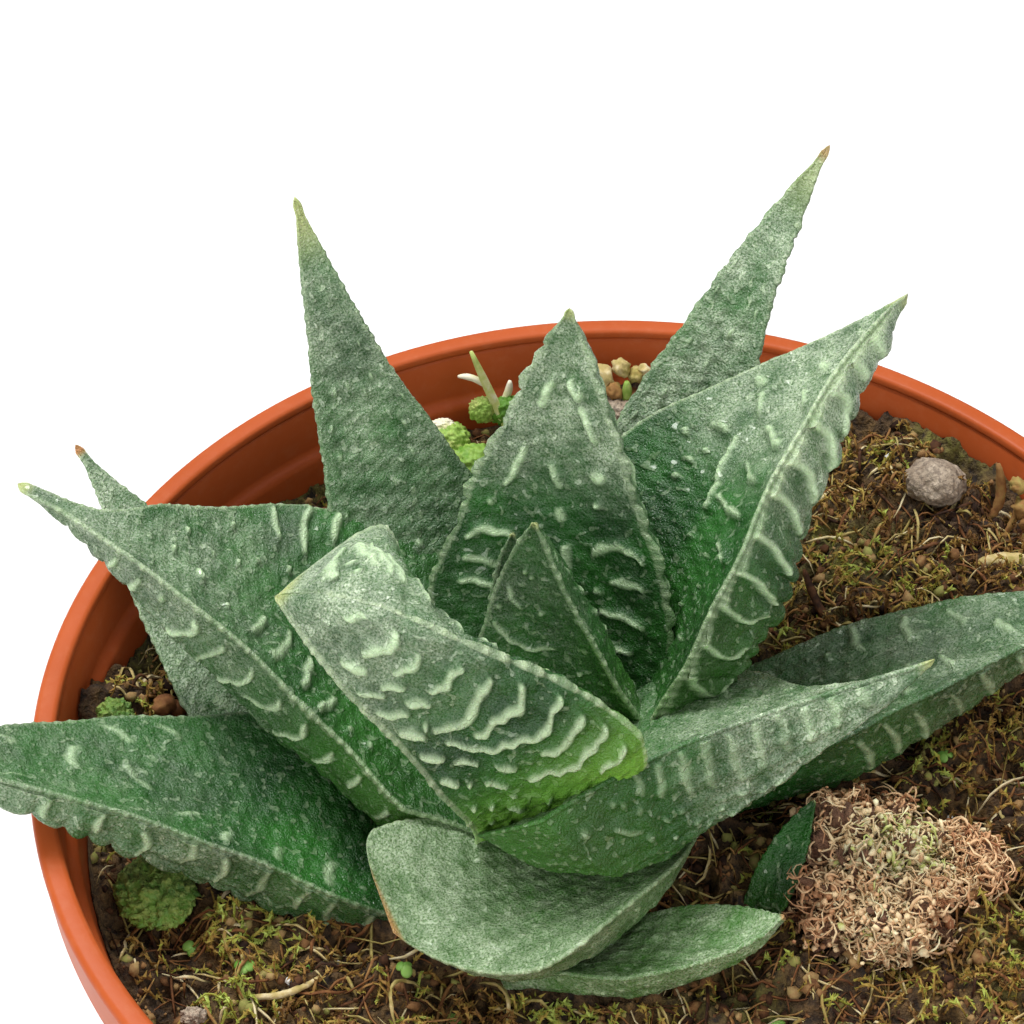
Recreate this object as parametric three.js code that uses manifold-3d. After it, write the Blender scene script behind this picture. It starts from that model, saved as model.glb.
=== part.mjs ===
// A potted haworthia: a plastic nursery pot filled with potting mix, and a rosette of thick keeled
// leaves with raised cross ridges, each leaf a solid of its own round a short stem.
// Millimetres, +Z up, the origin at the centre of the pot's underside, the viewer at -Y.
import * as THREE from "three";
import { mergeVertices } from "three/addons/utils/BufferGeometryUtils.js";
import Module from "manifold-3d";

const manifold3d = await Module();
manifold3d.setup();
const { Manifold, Mesh: ManifoldMesh } = manifold3d;

// Driving dimensions
const rimRadius = 52.5; // a 10.5 cm pot
const potHeight = 92;
const footRadius = 37;
const rimWidth = 2; // the rim's flat top
const collarHeight = 7; // the wider band under the rim, a step outside and a ledge inside
const collarStep = 2.2; // how far the collar stands out from the tapered wall
const wall = 1.2;
const floorThickness = 1.8;
const drainSlots = 8;
const slotRadius = 3.5;
const slotLength = 16;
const potSides = 54;
const clearance = 0.3; // between pieces that touch
const mixLevel = potHeight - 9;
const mixRise = 6; // how much higher the mix lies at the right of the back
const heap = { x: -48, y: 4, tall: 5, reach: 4.5 }; // mix heaped against the pot on the left
const stemRadius = 6;
const stemDepth = 14; // how far the stem runs down into the mix
const crown = new THREE.Vector3(-5, -1, potHeight - 6); // where the leaves spring from the stem

const matt = (color, roughness) => new THREE.MeshStandardMaterial({ color, roughness, metalness: 0 });
const terracottaPlastic = matt(0xc4562f, 0.55);
const pottingMix = matt(0x4a3320, 0.95);
const leafGreen = matt(0x3f6b46, 0.5);
const stemGreen = matt(0x7d8a4a, 0.7);
const dryMoss = matt(0xb48a62, 0.95);
const stone = matt(0x8d8478, 0.85);
const weedGreen = matt(0x557a2c, 0.7);

// Leaves, from the heart of the rosette out. Places are measured from the crown. A leaf's spine is a
// cubic curve from its root to its tip, and its face says which way its upper side looks at the
// root, the middle and the tip. half is half its width where it is widest, taper and slim shape how
// the left and the right margin run in to the tip, and a shoulder is where a margin steps in.
// keel is the keel's depth as a share of half, keelAt how far it lies towards the right margin, and
// cup how far the upper side is hollowed. full is how far the keel's depth is carried towards a
// blunt tip, clasp how thin the keel starts. fold is how narrow the left half is near the root, and where it opens out to its full
// width. ridges is how many cross ridges a small leaf has, relief how strong they are, and
// planted marks the leaves of offsets, which come out of the mix.
const leaves = {
  leaf_heart: {
    spine: [[-1, 1, 3], [-3, -2, 12], [-4.5, 1.5, 20], [-4, 2.5, 28]],
    face: [[-0.3, -0.8, 0.5], [-0.4, -0.7, 0.6], [-0.4, -0.7, 0.6]],
    half: 8, root: 0.9, widest: 0.15, taper: [1.2, 1.2], keel: 0.7, keelAt: 0.5,
  },
  leaf_bud: {
    spine: [[-3, 4, 4], [-5, 4, 12], [-6, 5, 18], [-6, 6, 23]],
    face: [[-0.1, -0.7, 0.7], [-0.1, -0.7, 0.7], [-0.1, -0.7, 0.7]],
    half: 4, root: 0.9, widest: 0.15, taper: [1.2, 1.2], keel: 0.6, keelAt: 0.2, ridges: 6,
  },
  leaf_curled: {
    spine: [[3, -2, 5], [-2, -3.5, 13], [-12, -13, 25], [-24, -8.5, 29.5]],
    face: [[0.1, 0.55, -0.2], [-0.2, 0.3, -0.5], [-0.5, 0.4, -0.8]],
    half: 12, root: 0.8, widest: 0.3, taper: [7, 1.3], keel: 1.4, keelAt: -0.1, full: 2,
    clasp: 0.1, fold: [0.25, 0.65, 0.87],
  },
  leaf_middle: {
    spine: [[-3, 4, 2], [-2.5, 8, 12], [-3, 13, 24], [-2, 18, 38]],
    face: [[-0.3, -0.8, 0.5], [-0.3, -0.7, 0.6], [-0.3, -0.7, 0.7]],
    half: 11, root: 0.7, widest: 0.3, taper: [1.2, 1.2], keel: 0.7, keelAt: 0.6,
  },
  leaf_right: {
    spine: [[3, 1, 1], [0, 7.5, 17], [7, 13.5, 28.5], [27.3, 30.5, 30.5]],
    face: [[-0.5, -0.15, 0], [-0.3, -0.3, 0.65], [-0.8, 0.2, 0.5]],
    half: 12, root: 0.5, widest: 0.44, taper: [1.5, 1.8], slim: 0.9, keel: 0.35, keelAt: 0.85, cup: 0.4,
  },
  leaf_left: {
    spine: [[1.4, 1.1, 1], [-22.8, 7.6, 11.3], [-31.7, 1.7, 21.3], [-47, 9.4, 21.3]],
    face: [[0.8, -0.15, 0.55], [0, 0, 0.45], [-0.5, 0.15, 0.65]],
    half: 14.7, root: 0.85, widest: 0.2, taper: [1.1, 1.8], slim: 1.6, shoulder: [0, 0.8],
    keel: 0.5, keelAt: -0.77,
  },
  leaf_back_left: {
    spine: [[-4, 4, 0], [-14, 17, 7], [-19, 19.5, 17], [-27, 33, 36.5]],
    face: [[0.45, -0.55, 0.9], [0.2, -0.65, 0.6], [0.2, -0.8, 0.3]],
    half: 8.9, root: 0.8, widest: 0.3, taper: [1.3, 1.05], slim: 1.1, keel: 0.7, keelAt: 0,
  },
  leaf_back_right: {
    spine: [[2, 4, 0], [4.5, 17, 6], [6.5, 28, 20.5], [20, 41.5, 38]],
    face: [[-0.1, -0.65, 0.9], [-0.2, -0.55, 0.65], [-0.4, -0.65, 0.3]],
    half: 8.9, root: 0.8, widest: 0.4, taper: [0.8, 0.9], slim: 1.05, keel: 0.7, keelAt: 0,
  },
  leaf_front_right: {
    spine: [[-3, -9.5, 3.5], [0, -6.5, 15.5], [12.5, -8, 15.5], [29.3, -4.5, 21.5]],
    face: [[-0.25, 0.5, 0.25], [-0.9, 0.2, 1], [-0.85, 0.75, 0.3]],
    half: 12, root: 0.7, widest: 0.25, taper: [6, 0.6], shoulder: [0.72, 0], keel: 0.8, keelAt: 0.6,
  },
  leaf_front_blunt: {
    spine: [[6, -8, 1], [2, -14, 5], [-6, -18, 6], [-14, -22, 4]],
    face: [[-0.2, 0.55, 0.8], [-0.15, 0.25, 0.95], [0, -0.35, 0.95]],
    half: 9, root: 0.6, widest: 0.6, taper: [2, 20], keel: 0.7, keelAt: -0.4, full: 4, relief: 0.4,
  },
  leaf_far_right: {
    spine: [[5, 0, -1], [20, 6, 4], [32, 12, 9], [50, 15, 10]],
    face: [[-0.4, 0.25, 0.9], [-0.3, 0.25, 0.9], [-0.1, 0.2, 1]],
    half: 8, root: 0.8, widest: 0.35, taper: [1.6, 1.6], keel: 0.9, keelAt: 0.5,
  },
  leaf_front_left: {
    spine: [[-4, -1, -5], [-15.8, -9.8, -0.5], [-36.6, -8.4, 8.6], [-56.8, -17.1, 17.7]],
    face: [[-0.55, -0.45, 0.5], [-0.25, 0.05, 0.65], [0.3, 0.15, 0.6]],
    half: 10, root: 0.8, widest: 0.28, taper: [0.9, 2.1], keel: 0.55, keelAt: -0.9,
  },
  leaf_far_left: {
    spine: [[-3, 1, -1], [-28, 3, -1], [-35, 12, 5], [-47, 22.5, 15]],
    face: [[0.1, -0.4, 0.9], [0.3, -0.5, 0.9], [0.3, -0.5, 0.8]],
    half: 10, root: 0.8, widest: 0.3, taper: [1.4, 1.4], slim: 1.4, keel: 0.6, keelAt: -0.2,
  },
  leaf_front_low: {
    spine: [[-5, -19, -5], [6.5, -17, 0], [13.5, -21, 2], [18, -19.5, 6]],
    face: [[-0.2, 0.6, 0.3], [-0.7, 0.1, 1], [-0.3, 0.2, 1]],
    half: 4.4, root: 0.7, widest: 0.37, taper: [2.7, 1], slim: 1.1, keel: 0.7, keelAt: 0.6,
    ridges: 8, planted: true,
  },
  leaf_offset: {
    spine: [[15.8, -13.2, -5], [17.8, -11.7, 1.7], [19.3, -7.7, 2.7], [20.8, -5.4, 3.7]],
    face: [[-0.4, -0.4, 0.8], [-0.4, -0.4, 0.8], [-0.4, -0.4, 0.8]],
    half: 1.8, root: 0.8, widest: 0.3, taper: [1.5, 1.5], keel: 0.7, keelAt: 0, ridges: 3, planted: true,
  },
};

const crossRidges = 11; // raised ridges across a leaf, root to tip
const faceSteps = 6; // points across a leaf's upper side
const flankSteps = 3; // points down each flank of its keel
const edge = 0.6; // a leaf's thickness at its margins

const vec = (p) => new THREE.Vector3(...p);

function leafFrame(leaf, t) {
  const curve = new THREE.CubicBezierCurve3(...leaf.spine.map(vec));
  const face = new THREE.QuadraticBezierCurve3(...leaf.face.map(vec)).getPoint(t);
  const along = curve.getTangent(t);
  const up = face.addScaledVector(along, -face.dot(along)).normalize();
  return { at: curve.getPoint(t), along, up, side: along.clone().cross(up) };
}

// Half the leaf's width at t, on its left (0) or right (1).
function leafHalf(leaf, t, hand) {
  const { root, widest, taper, slim = 1, shoulder = [0, 0], fold } = leaf;
  const narrow = fold && hand === 0 ? (1 - fold[0]) * (1 - THREE.MathUtils.smoothstep(t, fold[1], fold[2])) : 0;
  const half = leaf.half * (1 - narrow);
  if (t < widest) return half * (root + (1 - root) * Math.sin((Math.PI / 2) * (t / widest)));
  const past = (t - widest) / (1 - widest);
  const at = shoulder[hand];
  const step = at ? 0.6 * THREE.MathUtils.smoothstep(t, at - 0.05, at + 0.08) : 0;
  return half * Math.max(0.03, (1 - past ** taper[hand]) ** slim * (1 - step));
}

// One closed outline of a leaf's section: across the upper side, then down and up the keel's flanks.
// row counts the leaf's ridges, and is 0 between them. swell makes the whole section larger.
function leafSection(leaf, t, row, swell) {
  const { at, along, up, side } = leafFrame(leaf, t);
  if (t === 0 || t === 1) at.addScaledVector(along, (2 * t - 1) * swell);
  const left = leafHalf(leaf, t, 0) + swell;
  const right = leafHalf(leaf, t, 1) + swell;
  const h = Math.min((left + right) / 2, leaf.half);
  const { clasp = 0.4 } = leaf;
  const thickening = clasp + (1 - clasp) * Math.min(1, t / 0.4);
  const runOut = (1 - t ** (leaf.full ?? 2.4)) ** 0.9;
  const depth = Math.max(edge + 0.1, leaf.keel * leaf.half * thickening * runOut) + swell;
  const cup = (leaf.cup ?? 0.12) * h;
  const ridge = row ? (leaf.relief ?? 1) * Math.min(0.45, 0.06 * h) : 0;
  const ends = [-left - ridge, right + ridge];
  const points = [];
  const put = (x, z) => points.push(at.clone().addScaledVector(side, x).addScaledVector(up, z));
  for (let i = 0; i <= faceSteps; i++) {
    const s = -1 + (2 * i) / faceSteps;
    const tubercle = i > 0 && i < faceSteps && (i + row) % 2 ? ridge : 0;
    put(s < 0 ? -s * ends[0] : s * ends[1], -cup * (1 - s * s) + tubercle + swell);
  }
  const keelX = leaf.keelAt * (leaf.keelAt < 0 ? left : right);
  const drop = Math.min(edge, 0.5 * depth) + swell;
  for (let i = 0; i <= 2 * flankSteps; i++) {
    const f = i <= flankSteps ? i / flankSteps : (2 * flankSteps - i) / flankSteps;
    const from = i <= flankSteps ? ends[1] : ends[0];
    const bulge = 0.16 * h * Math.sin(Math.PI * f);
    put(from + (keelX - from) * f, -drop - (depth + cup - drop) * f - bulge - (f > 0 ? ridge : 0));
  }
  return points;
}

// Rings of as many points each, joined into one closed skin with a fan over each end.
function loft(rings) {
  const n = rings[0].length;
  const position = rings.flat().flatMap((p) => p.toArray());
  const index = [];
  for (let i = 0; i + 1 < rings.length; i++) {
    for (let j = 0; j < n; j++) {
      const a = i * n + j;
      const b = i * n + ((j + 1) % n);
      index.push(a, b, a + n, b, b + n, a + n);
    }
  }
  for (const end of [0, rings.length - 1]) {
    const centre = position.length / 3;
    const sum = rings[end].reduce((s, p) => s.add(p), new THREE.Vector3());
    position.push(...sum.divideScalar(n).toArray());
    for (let j = 0; j < n; j++) {
      const a = end * n + j;
      const b = end * n + ((j + 1) % n);
      index.push(...(end ? [centre, a, b] : [centre, b, a]));
    }
  }
  const geometry = new THREE.BufferGeometry();
  geometry.setAttribute("position", new THREE.Float32BufferAttribute(position, 3));
  geometry.setIndex(index);
  return geometry;
}

function leafGeometry(leaf, swell = 0) {
  const rings = [];
  const stations = 2 * (leaf.ridges ?? crossRidges);
  for (let i = 0; i <= stations; i++) {
    rings.push(leafSection(leaf, i / stations, i > 1 && i % 2 ? (i + 1) / 2 : 0, swell));
  }
  return loft(rings).translate(...crown);
}

// Solids for cutting and joining, and back again as geometry.
function solid(geometry) {
  const bare = new THREE.BufferGeometry();
  bare.setAttribute("position", (geometry.index ? geometry.toNonIndexed() : geometry).attributes.position);
  const merged = mergeVertices(bare, 1e-4);
  return new Manifold(
    new ManifoldMesh({
      numProp: 3,
      vertProperties: new Float32Array(merged.attributes.position.array),
      triVerts: new Uint32Array(merged.index.array),
    }),
  );
}

function biggest(made) {
  return made.decompose().reduce((a, b) => (b.volume() > a.volume() ? b : a));
}

function geometryOf(made) {
  const { vertProperties, triVerts, numProp, numVert } = made.getMesh();
  const position = new Float32Array(3 * numVert);
  for (let i = 0; i < numVert; i++) {
    position.set(vertProperties.subarray(i * numProp, i * numProp + 3), 3 * i);
  }
  const geometry = new THREE.BufferGeometry();
  geometry.setAttribute("position", new THREE.BufferAttribute(position, 3));
  geometry.setIndex(new THREE.BufferAttribute(triVerts, 1));
  geometry.computeVertexNormals();
  return geometry;
}

const shortest = 0.08; // edges shorter than this are closed up after a cut

const pottedHaworthia = new THREE.Group();
function add(name, made, material) {
  const mesh = new THREE.Mesh(geometryOf(biggest(made.simplify(shortest))), material);
  mesh.name = name;
  pottedHaworthia.add(mesh);
}

// Pot: a tapered wall with a collar and a flat rim, and slots round the foot that let water out.
const turned = (profile, sides) => {
  const points = profile.map(([r, z]) => new THREE.Vector2(r, z));
  return new THREE.LatheGeometry(points, sides).rotateX(Math.PI / 2);
};
const collarFoot = potHeight - collarHeight;
const bodyRadius = (z) => footRadius + ((rimRadius - collarStep - footRadius) * z) / collarFoot;
const innerRadius = (z) => bodyRadius(z) - wall;

function potSolid() {
  const profile = [
    [0, 0], [footRadius - 1, 0], [bodyRadius(1), 1], [bodyRadius(collarFoot - 1), collarFoot - 1],
    [rimRadius - 0.4, collarFoot], [rimRadius, potHeight - 0.5], [rimRadius - 0.3, potHeight],
    [rimRadius - rimWidth, potHeight], [rimRadius - rimWidth - 0.2, potHeight - 1],
    [rimRadius - rimWidth - 0.4, collarFoot + 0.6], [innerRadius(collarFoot) + 0.5, collarFoot],
    [innerRadius(collarFoot - 1), collarFoot - 1], [innerRadius(floorThickness + 1), floorThickness + 1],
    [innerRadius(floorThickness) - 1, floorThickness], [0, floorThickness],
  ];
  let pot = solid(turned(profile, potSides));
  for (let i = 0; i < drainSlots; i++) {
    const turn = ((i + 0.5) * 2 * Math.PI) / drainSlots;
    const slot = new THREE.CylinderGeometry(slotRadius, slotRadius, slotLength, 12).rotateZ(Math.PI / 2);
    pot = pot.subtract(solid(slot.translate(footRadius - 2, 0, 0).rotateZ(turn)));
  }
  return pot;
}

// A soft random lumpiness, the same every time: sines in three directions that don't repeat.
function lumps(x, y, z, size) {
  const [a, b, c] = [x / size, y / size, z / size];
  return (
    (Math.sin(2.1 * a + 1.3 * b) + Math.sin(1.7 * b - 2.3 * c + 1) + Math.sin(2.9 * c + 1.1 * a + 2)) / 3 +
    (Math.sin(5.3 * a - 4.1 * b + 3) + Math.sin(4.7 * b + 5.9 * a) * Math.sin(5.1 * c + 1)) / 5
  );
}

// The mix's surface: loose and uneven, low at the front, banked up at the back right and heaped
// against the pot at one place on the left.
function mixHeight(x, y) {
  const bank = THREE.MathUtils.smoothstep(0.66 * x + 0.75 * y, 12, 50);
  const mound = Math.exp(-((x - crown.x) ** 2 + (y - crown.y) ** 2) / 260);
  const heaped = heap.tall * Math.exp(-((x - heap.x) ** 2 + (y - heap.y) ** 2) / (2 * heap.reach ** 2));
  return mixLevel + mixRise * bank + heaped + 1.5 * mound + 0.9 * lumps(x, y, 0, 5.2);
}

function mixSolid(swell = 0) {
  const sides = 46;
  const radii = [46, 42, 37, 32, 27, 22, 17, 12, 6];
  const rings = [floorThickness + clearance, potHeight - 12].map((z) => {
    const r = innerRadius(z) - clearance - (z < 10 ? 1 : 0) + swell;
    return Array.from({ length: sides }, (_, j) => {
      const turn = (2 * Math.PI * j) / sides;
      return new THREE.Vector3(r * Math.cos(turn), r * Math.sin(turn), z);
    });
  });
  const brim = innerRadius(mixLevel) - clearance;
  for (const r of [brim - 0.4, ...radii]) {
    rings.push(
      Array.from({ length: sides }, (_, j) => {
        const turn = (2 * Math.PI * j) / sides;
        const [x, y] = [r * Math.cos(turn), r * Math.sin(turn)];
        return new THREE.Vector3(x, y, mixHeight(x, y) + swell);
      }),
    );
  }
  return solid(loft(rings));
}

// Stones and tufts: balls with their surface pushed in and out, flattened and set into the mix.
function pebble({ at, size, turn = 0, rough = 0.12, grain = 0.6, detail = 2, seed = 0 }, swell = 0) {
  const geometry = new THREE.IcosahedronGeometry(1, detail);
  const position = geometry.attributes.position;
  for (let i = 0; i < position.count; i++) {
    const p = new THREE.Vector3().fromBufferAttribute(position, i);
    const push = 1 + rough * lumps(p.x + seed, p.y, p.z, grain);
    position.setXYZ(i, ...size.map((s, k) => p.getComponent(k) * (s * push + swell)));
  }
  return solid(geometry.rotateZ(turn).translate(...at));
}

const onMix = (x, y, above) => [x, y, mixHeight(x, y) + above];
const loose = {
  pebble_grey: [{ at: onMix(27.7, 33.6, 0.8), size: [3.2, 2.6, 2.2], turn: -0.2, seed: 1 }, stone],
  pebble_tan: [{ at: onMix(-3, 44, 0.7), size: [2.4, 1.9, 1.6], turn: 0.4, seed: 4, rough: 0.2 }, stone],
  pebble_small: [{ at: onMix(2.6, 43.2, 0.5), size: [1.7, 1.5, 1.3], turn: 1, seed: 7, rough: 0.2 }, stone],
  pebble_white: [{ at: onMix(-35.5, -27.5, 0.3), size: [1.2, 0.9, 0.8], seed: 9, detail: 1 }, stone],
  moss_clump: [
    {
      at: onMix(20.8, -10.9, 1.4), size: [7.4, 9, 5], turn: 0.2,
      rough: 0.26, grain: 0.35, detail: 5, seed: 3,
    },
    dryMoss,
  ],
  moss_tail: [
    { at: onMix(29.8, -7.6, 0.8), size: [3.7, 2.4, 2], turn: -0.9, rough: 0.35, grain: 0.4, seed: 5 },
    dryMoss,
  ],
  weed_leaf: [
    {
      at: onMix(-40.5, -15.5, 0.9), size: [3.6, 4.2, 1.5], turn: 0.6,
      rough: 0.16, grain: 0.3, detail: 3, seed: 2,
    },
    weedGreen,
  ],
  weed_leaf_small: [
    { at: onMix(-46.3, 1.2, 0.8), size: [1.8, 1.7, 1.2], rough: 0.16, grain: 0.3, detail: 1, seed: 6 },
    weedGreen,
  ],
};
const sprout = {
  at: onMix(-17, 38.5, 0.8),
  size: [2.4, 2.2, 1.9],
  shoot: [[0, 0, 0], [1.4, 1, 4], [-0.6, 1.8, 8.5]],
  shootRadius: 0.6,
  leafAt: [0.3, 0.55, 0.8],
  leafSize: [2, 0.9, 0.6],
};

// A seedling: a low cushion of leaves with one thin shoot that bears three small leaves.
function sproutSolid(swell = 0) {
  const shoot = new THREE.QuadraticBezierCurve3(...sprout.shoot.map(vec));
  const rings = [0, 0.25, 0.5, 0.75, 1].map((t) => {
    const middle = shoot.getPoint(t);
    const r = sprout.shootRadius * (1 - 0.3 * t) + swell;
    return Array.from({ length: 5 }, (_, j) => {
      const turn = (2 * Math.PI * j) / 5;
      return new THREE.Vector3(middle.x + r * Math.cos(turn), middle.y + r * Math.sin(turn), middle.z);
    });
  });
  const cushion = { at: sprout.at, size: sprout.size, rough: 0.2, grain: 0.4, detail: 1, seed: 8 };
  let made = solid(loft(rings).translate(...sprout.at)).add(pebble(cushion, swell));
  sprout.leafAt.forEach((t, i) => {
    const turn = 1 + 2.4 * i;
    const reach = 0.8 * sprout.leafSize[0];
    const at = shoot.getPoint(t).add(vec(sprout.at));
    at.add(new THREE.Vector3(reach * Math.cos(turn), reach * Math.sin(turn), 0.2));
    const blade = { at: at.toArray(), size: sprout.leafSize, turn, rough: 0, detail: 0 };
    made = made.add(pebble(blade, swell));
  });
  return made;
}

// Stem: short, rounded over at the top, and run down into a plain hole in the mix.
function stemSolid(swell = 0) {
  const foot = mixLevel - stemDepth;
  const profile = [
    [0, foot - swell], [2 + swell, foot + 1 - swell], [stemRadius - 1 + swell, mixLevel - 4],
    [stemRadius + swell, mixLevel + 1], [stemRadius - 1.5 + swell, crown.z + swell], [0, crown.z + 2 + swell],
  ];
  return solid(turned(profile, 20).translate(crown.x, crown.y, 0));
}

// Each leaf is cut clear of the mix, the stem and every leaf nearer the heart than itself. The
// leaves of offsets stand in plain holes in the mix, as the stem does.
const stemRoom = stemSolid(clearance);
const mixRoom = mixSolid(clearance);
let taken = stemRoom;
let holes = stemRoom;
for (const [name, leaf] of Object.entries(leaves)) {
  const room = solid(leafGeometry(leaf, clearance));
  const whole = solid(leafGeometry(leaf));
  add(name, (leaf.planted ? whole : whole.subtract(mixRoom)).subtract(taken), leafGreen);
  taken = taken.add(room);
  if (leaf.planted) holes = holes.add(room);
}
add("stem", stemSolid(), stemGreen);
add("pot", potSolid(), terracottaPlastic);
add("potting_mix", mixSolid().subtract(holes), pottingMix);

for (const [name, [shape, material]] of Object.entries(loose)) {
  add(name, pebble(shape).subtract(taken).subtract(mixRoom), material);
  taken = taken.add(pebble(shape, clearance));
}
add("weed_sprout", sproutSolid().subtract(taken).subtract(mixRoom), weedGreen);

export default pottedHaworthia;
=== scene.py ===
import math

import bmesh
import bpy
import numpy as np
from mathutils import Matrix, Vector, noise
from mathutils.bvhtree import BVHTree


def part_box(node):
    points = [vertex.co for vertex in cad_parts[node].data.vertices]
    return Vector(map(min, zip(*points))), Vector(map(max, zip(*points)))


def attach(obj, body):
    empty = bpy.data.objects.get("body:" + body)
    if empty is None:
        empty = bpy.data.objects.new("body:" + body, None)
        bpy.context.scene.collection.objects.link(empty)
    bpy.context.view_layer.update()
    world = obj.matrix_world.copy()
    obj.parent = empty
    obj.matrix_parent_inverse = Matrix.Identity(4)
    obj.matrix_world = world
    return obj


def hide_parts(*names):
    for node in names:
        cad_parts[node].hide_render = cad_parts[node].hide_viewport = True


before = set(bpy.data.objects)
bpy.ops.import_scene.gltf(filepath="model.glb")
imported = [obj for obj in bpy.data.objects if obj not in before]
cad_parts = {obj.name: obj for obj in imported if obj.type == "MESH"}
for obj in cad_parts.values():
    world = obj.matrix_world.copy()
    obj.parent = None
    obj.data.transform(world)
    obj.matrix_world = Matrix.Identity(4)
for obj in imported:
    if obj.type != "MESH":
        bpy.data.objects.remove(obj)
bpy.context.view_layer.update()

mm = 0.001


# Places worked out from the frame, in millimetres like the sizes of all pieces below
stemLow, stemHigh = [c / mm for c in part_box("stem")]
crown = np.array([(stemLow.x + stemHigh.x) / 2, (stemLow.y + stemHigh.y) / 2, stemHigh.z - 2])


# ---- small helpers

def smooth(x, low, high):
    k = np.clip((x - low) / (high - low), 0, 1)
    return k * k * (3 - 2 * k)


def chance(a, b, c):
    return np.mod(np.sin(a * 12.9898 + b * 78.233 + c * 37.719) * 43758.5453, 1.0)


def addObject(name, data):
    thing = bpy.data.objects.new(name, data)
    bpy.context.scene.collection.objects.link(thing)
    return thing


def finish(name, bm, material):
    mesh = bpy.data.meshes.new(name)
    bm.to_mesh(mesh)
    bm.free()
    return finishMesh(name, mesh, material)


def finishMesh(name, mesh, material, smoothShade=True):
    mesh.materials.append(material)
    mesh.polygons.foreach_set("use_smooth", [smoothShade] * len(mesh.polygons))
    piece = addObject(name, mesh)
    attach(piece, "root")
    return piece


def moveVerts(bm, points):
    for vert, point in zip(bm.verts, (points * mm).tolist()):
        vert.co = point


def paintVerts(bm, layers):
    for layerName, values in layers.items():
        layer = bm.verts.layers.float.new(layerName)
        for vert, value in zip(bm.verts, values.tolist()):
            vert[layer] = value


# ---- node helpers for the materials

def newMaterial(name):
    material = bpy.data.materials.new(name)
    material.use_nodes = True
    return material, material.node_tree, material.node_tree.nodes["Principled BSDF"]


def node(tree, kind, inputs=None, **settings):
    made = tree.nodes.new(kind)
    for key, value in settings.items():
        setattr(made, key, value)
    for key, value in (inputs or {}).items():
        if isinstance(value, bpy.types.NodeSocket):
            tree.links.new(value, made.inputs[key])
        else:
            made.inputs[key].default_value = value
    return made


def attribute(tree, name):
    return node(tree, "ShaderNodeAttribute", attribute_name=name).outputs["Fac"]


def noiseOf(tree, scale, detail, roughness, distortion=0.0):
    settings = {
        "Vector": node(tree, "ShaderNodeTexCoord").outputs["Object"],
        "Scale": scale, "Detail": detail, "Roughness": roughness, "Distortion": distortion,
    }
    return node(tree, "ShaderNodeTexNoise", settings).outputs["Fac"]


def remap(tree, value, fromLow, fromHigh, toLow=0.0, toHigh=1.0):
    settings = {"Value": value, "From Min": fromLow, "From Max": fromHigh, "To Min": toLow, "To Max": toHigh}
    return node(tree, "ShaderNodeMapRange", settings).outputs["Result"]


def mottle(tree, grain, *limits):
    # Patches of one noise: its scale, detail and roughness, then the limits that remap takes
    return remap(tree, noiseOf(tree, *grain), *limits)


def calc(tree, operation, a, b):
    return node(tree, "ShaderNodeMath", {0: a, 1: b}, operation=operation, use_clamp=True).outputs[0]


def times(tree, a, b):
    return calc(tree, "MULTIPLY", a, b)


def plus(tree, a, b):
    return calc(tree, "ADD", a, b)


def blendColours(tree, factor, a, b):
    made = node(tree, "ShaderNodeMix", data_type="RGBA")
    for index, value in ((0, factor), (6, a), (7, b)):
        if isinstance(value, bpy.types.NodeSocket):
            tree.links.new(value, made.inputs[index])
        else:
            made.inputs[index].default_value = value if index == 0 else (*value, 1)
    return made.outputs[2]


def dress(tree, shader, colour, roughness, relief, distance, strength=1.0):
    # Colour, roughness and a relief whose full height is the distance, in metres
    tree.links.new(colour, shader.inputs["Base Color"])
    if isinstance(roughness, float):
        shader.inputs["Roughness"].default_value = roughness
    else:
        tree.links.new(roughness, shader.inputs["Roughness"])
    made = node(tree, "ShaderNodeBump", {"Height": relief, "Distance": distance, "Strength": strength})
    tree.links.new(made.outputs["Normal"], shader.inputs["Normal"])


# ---- leaves

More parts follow.
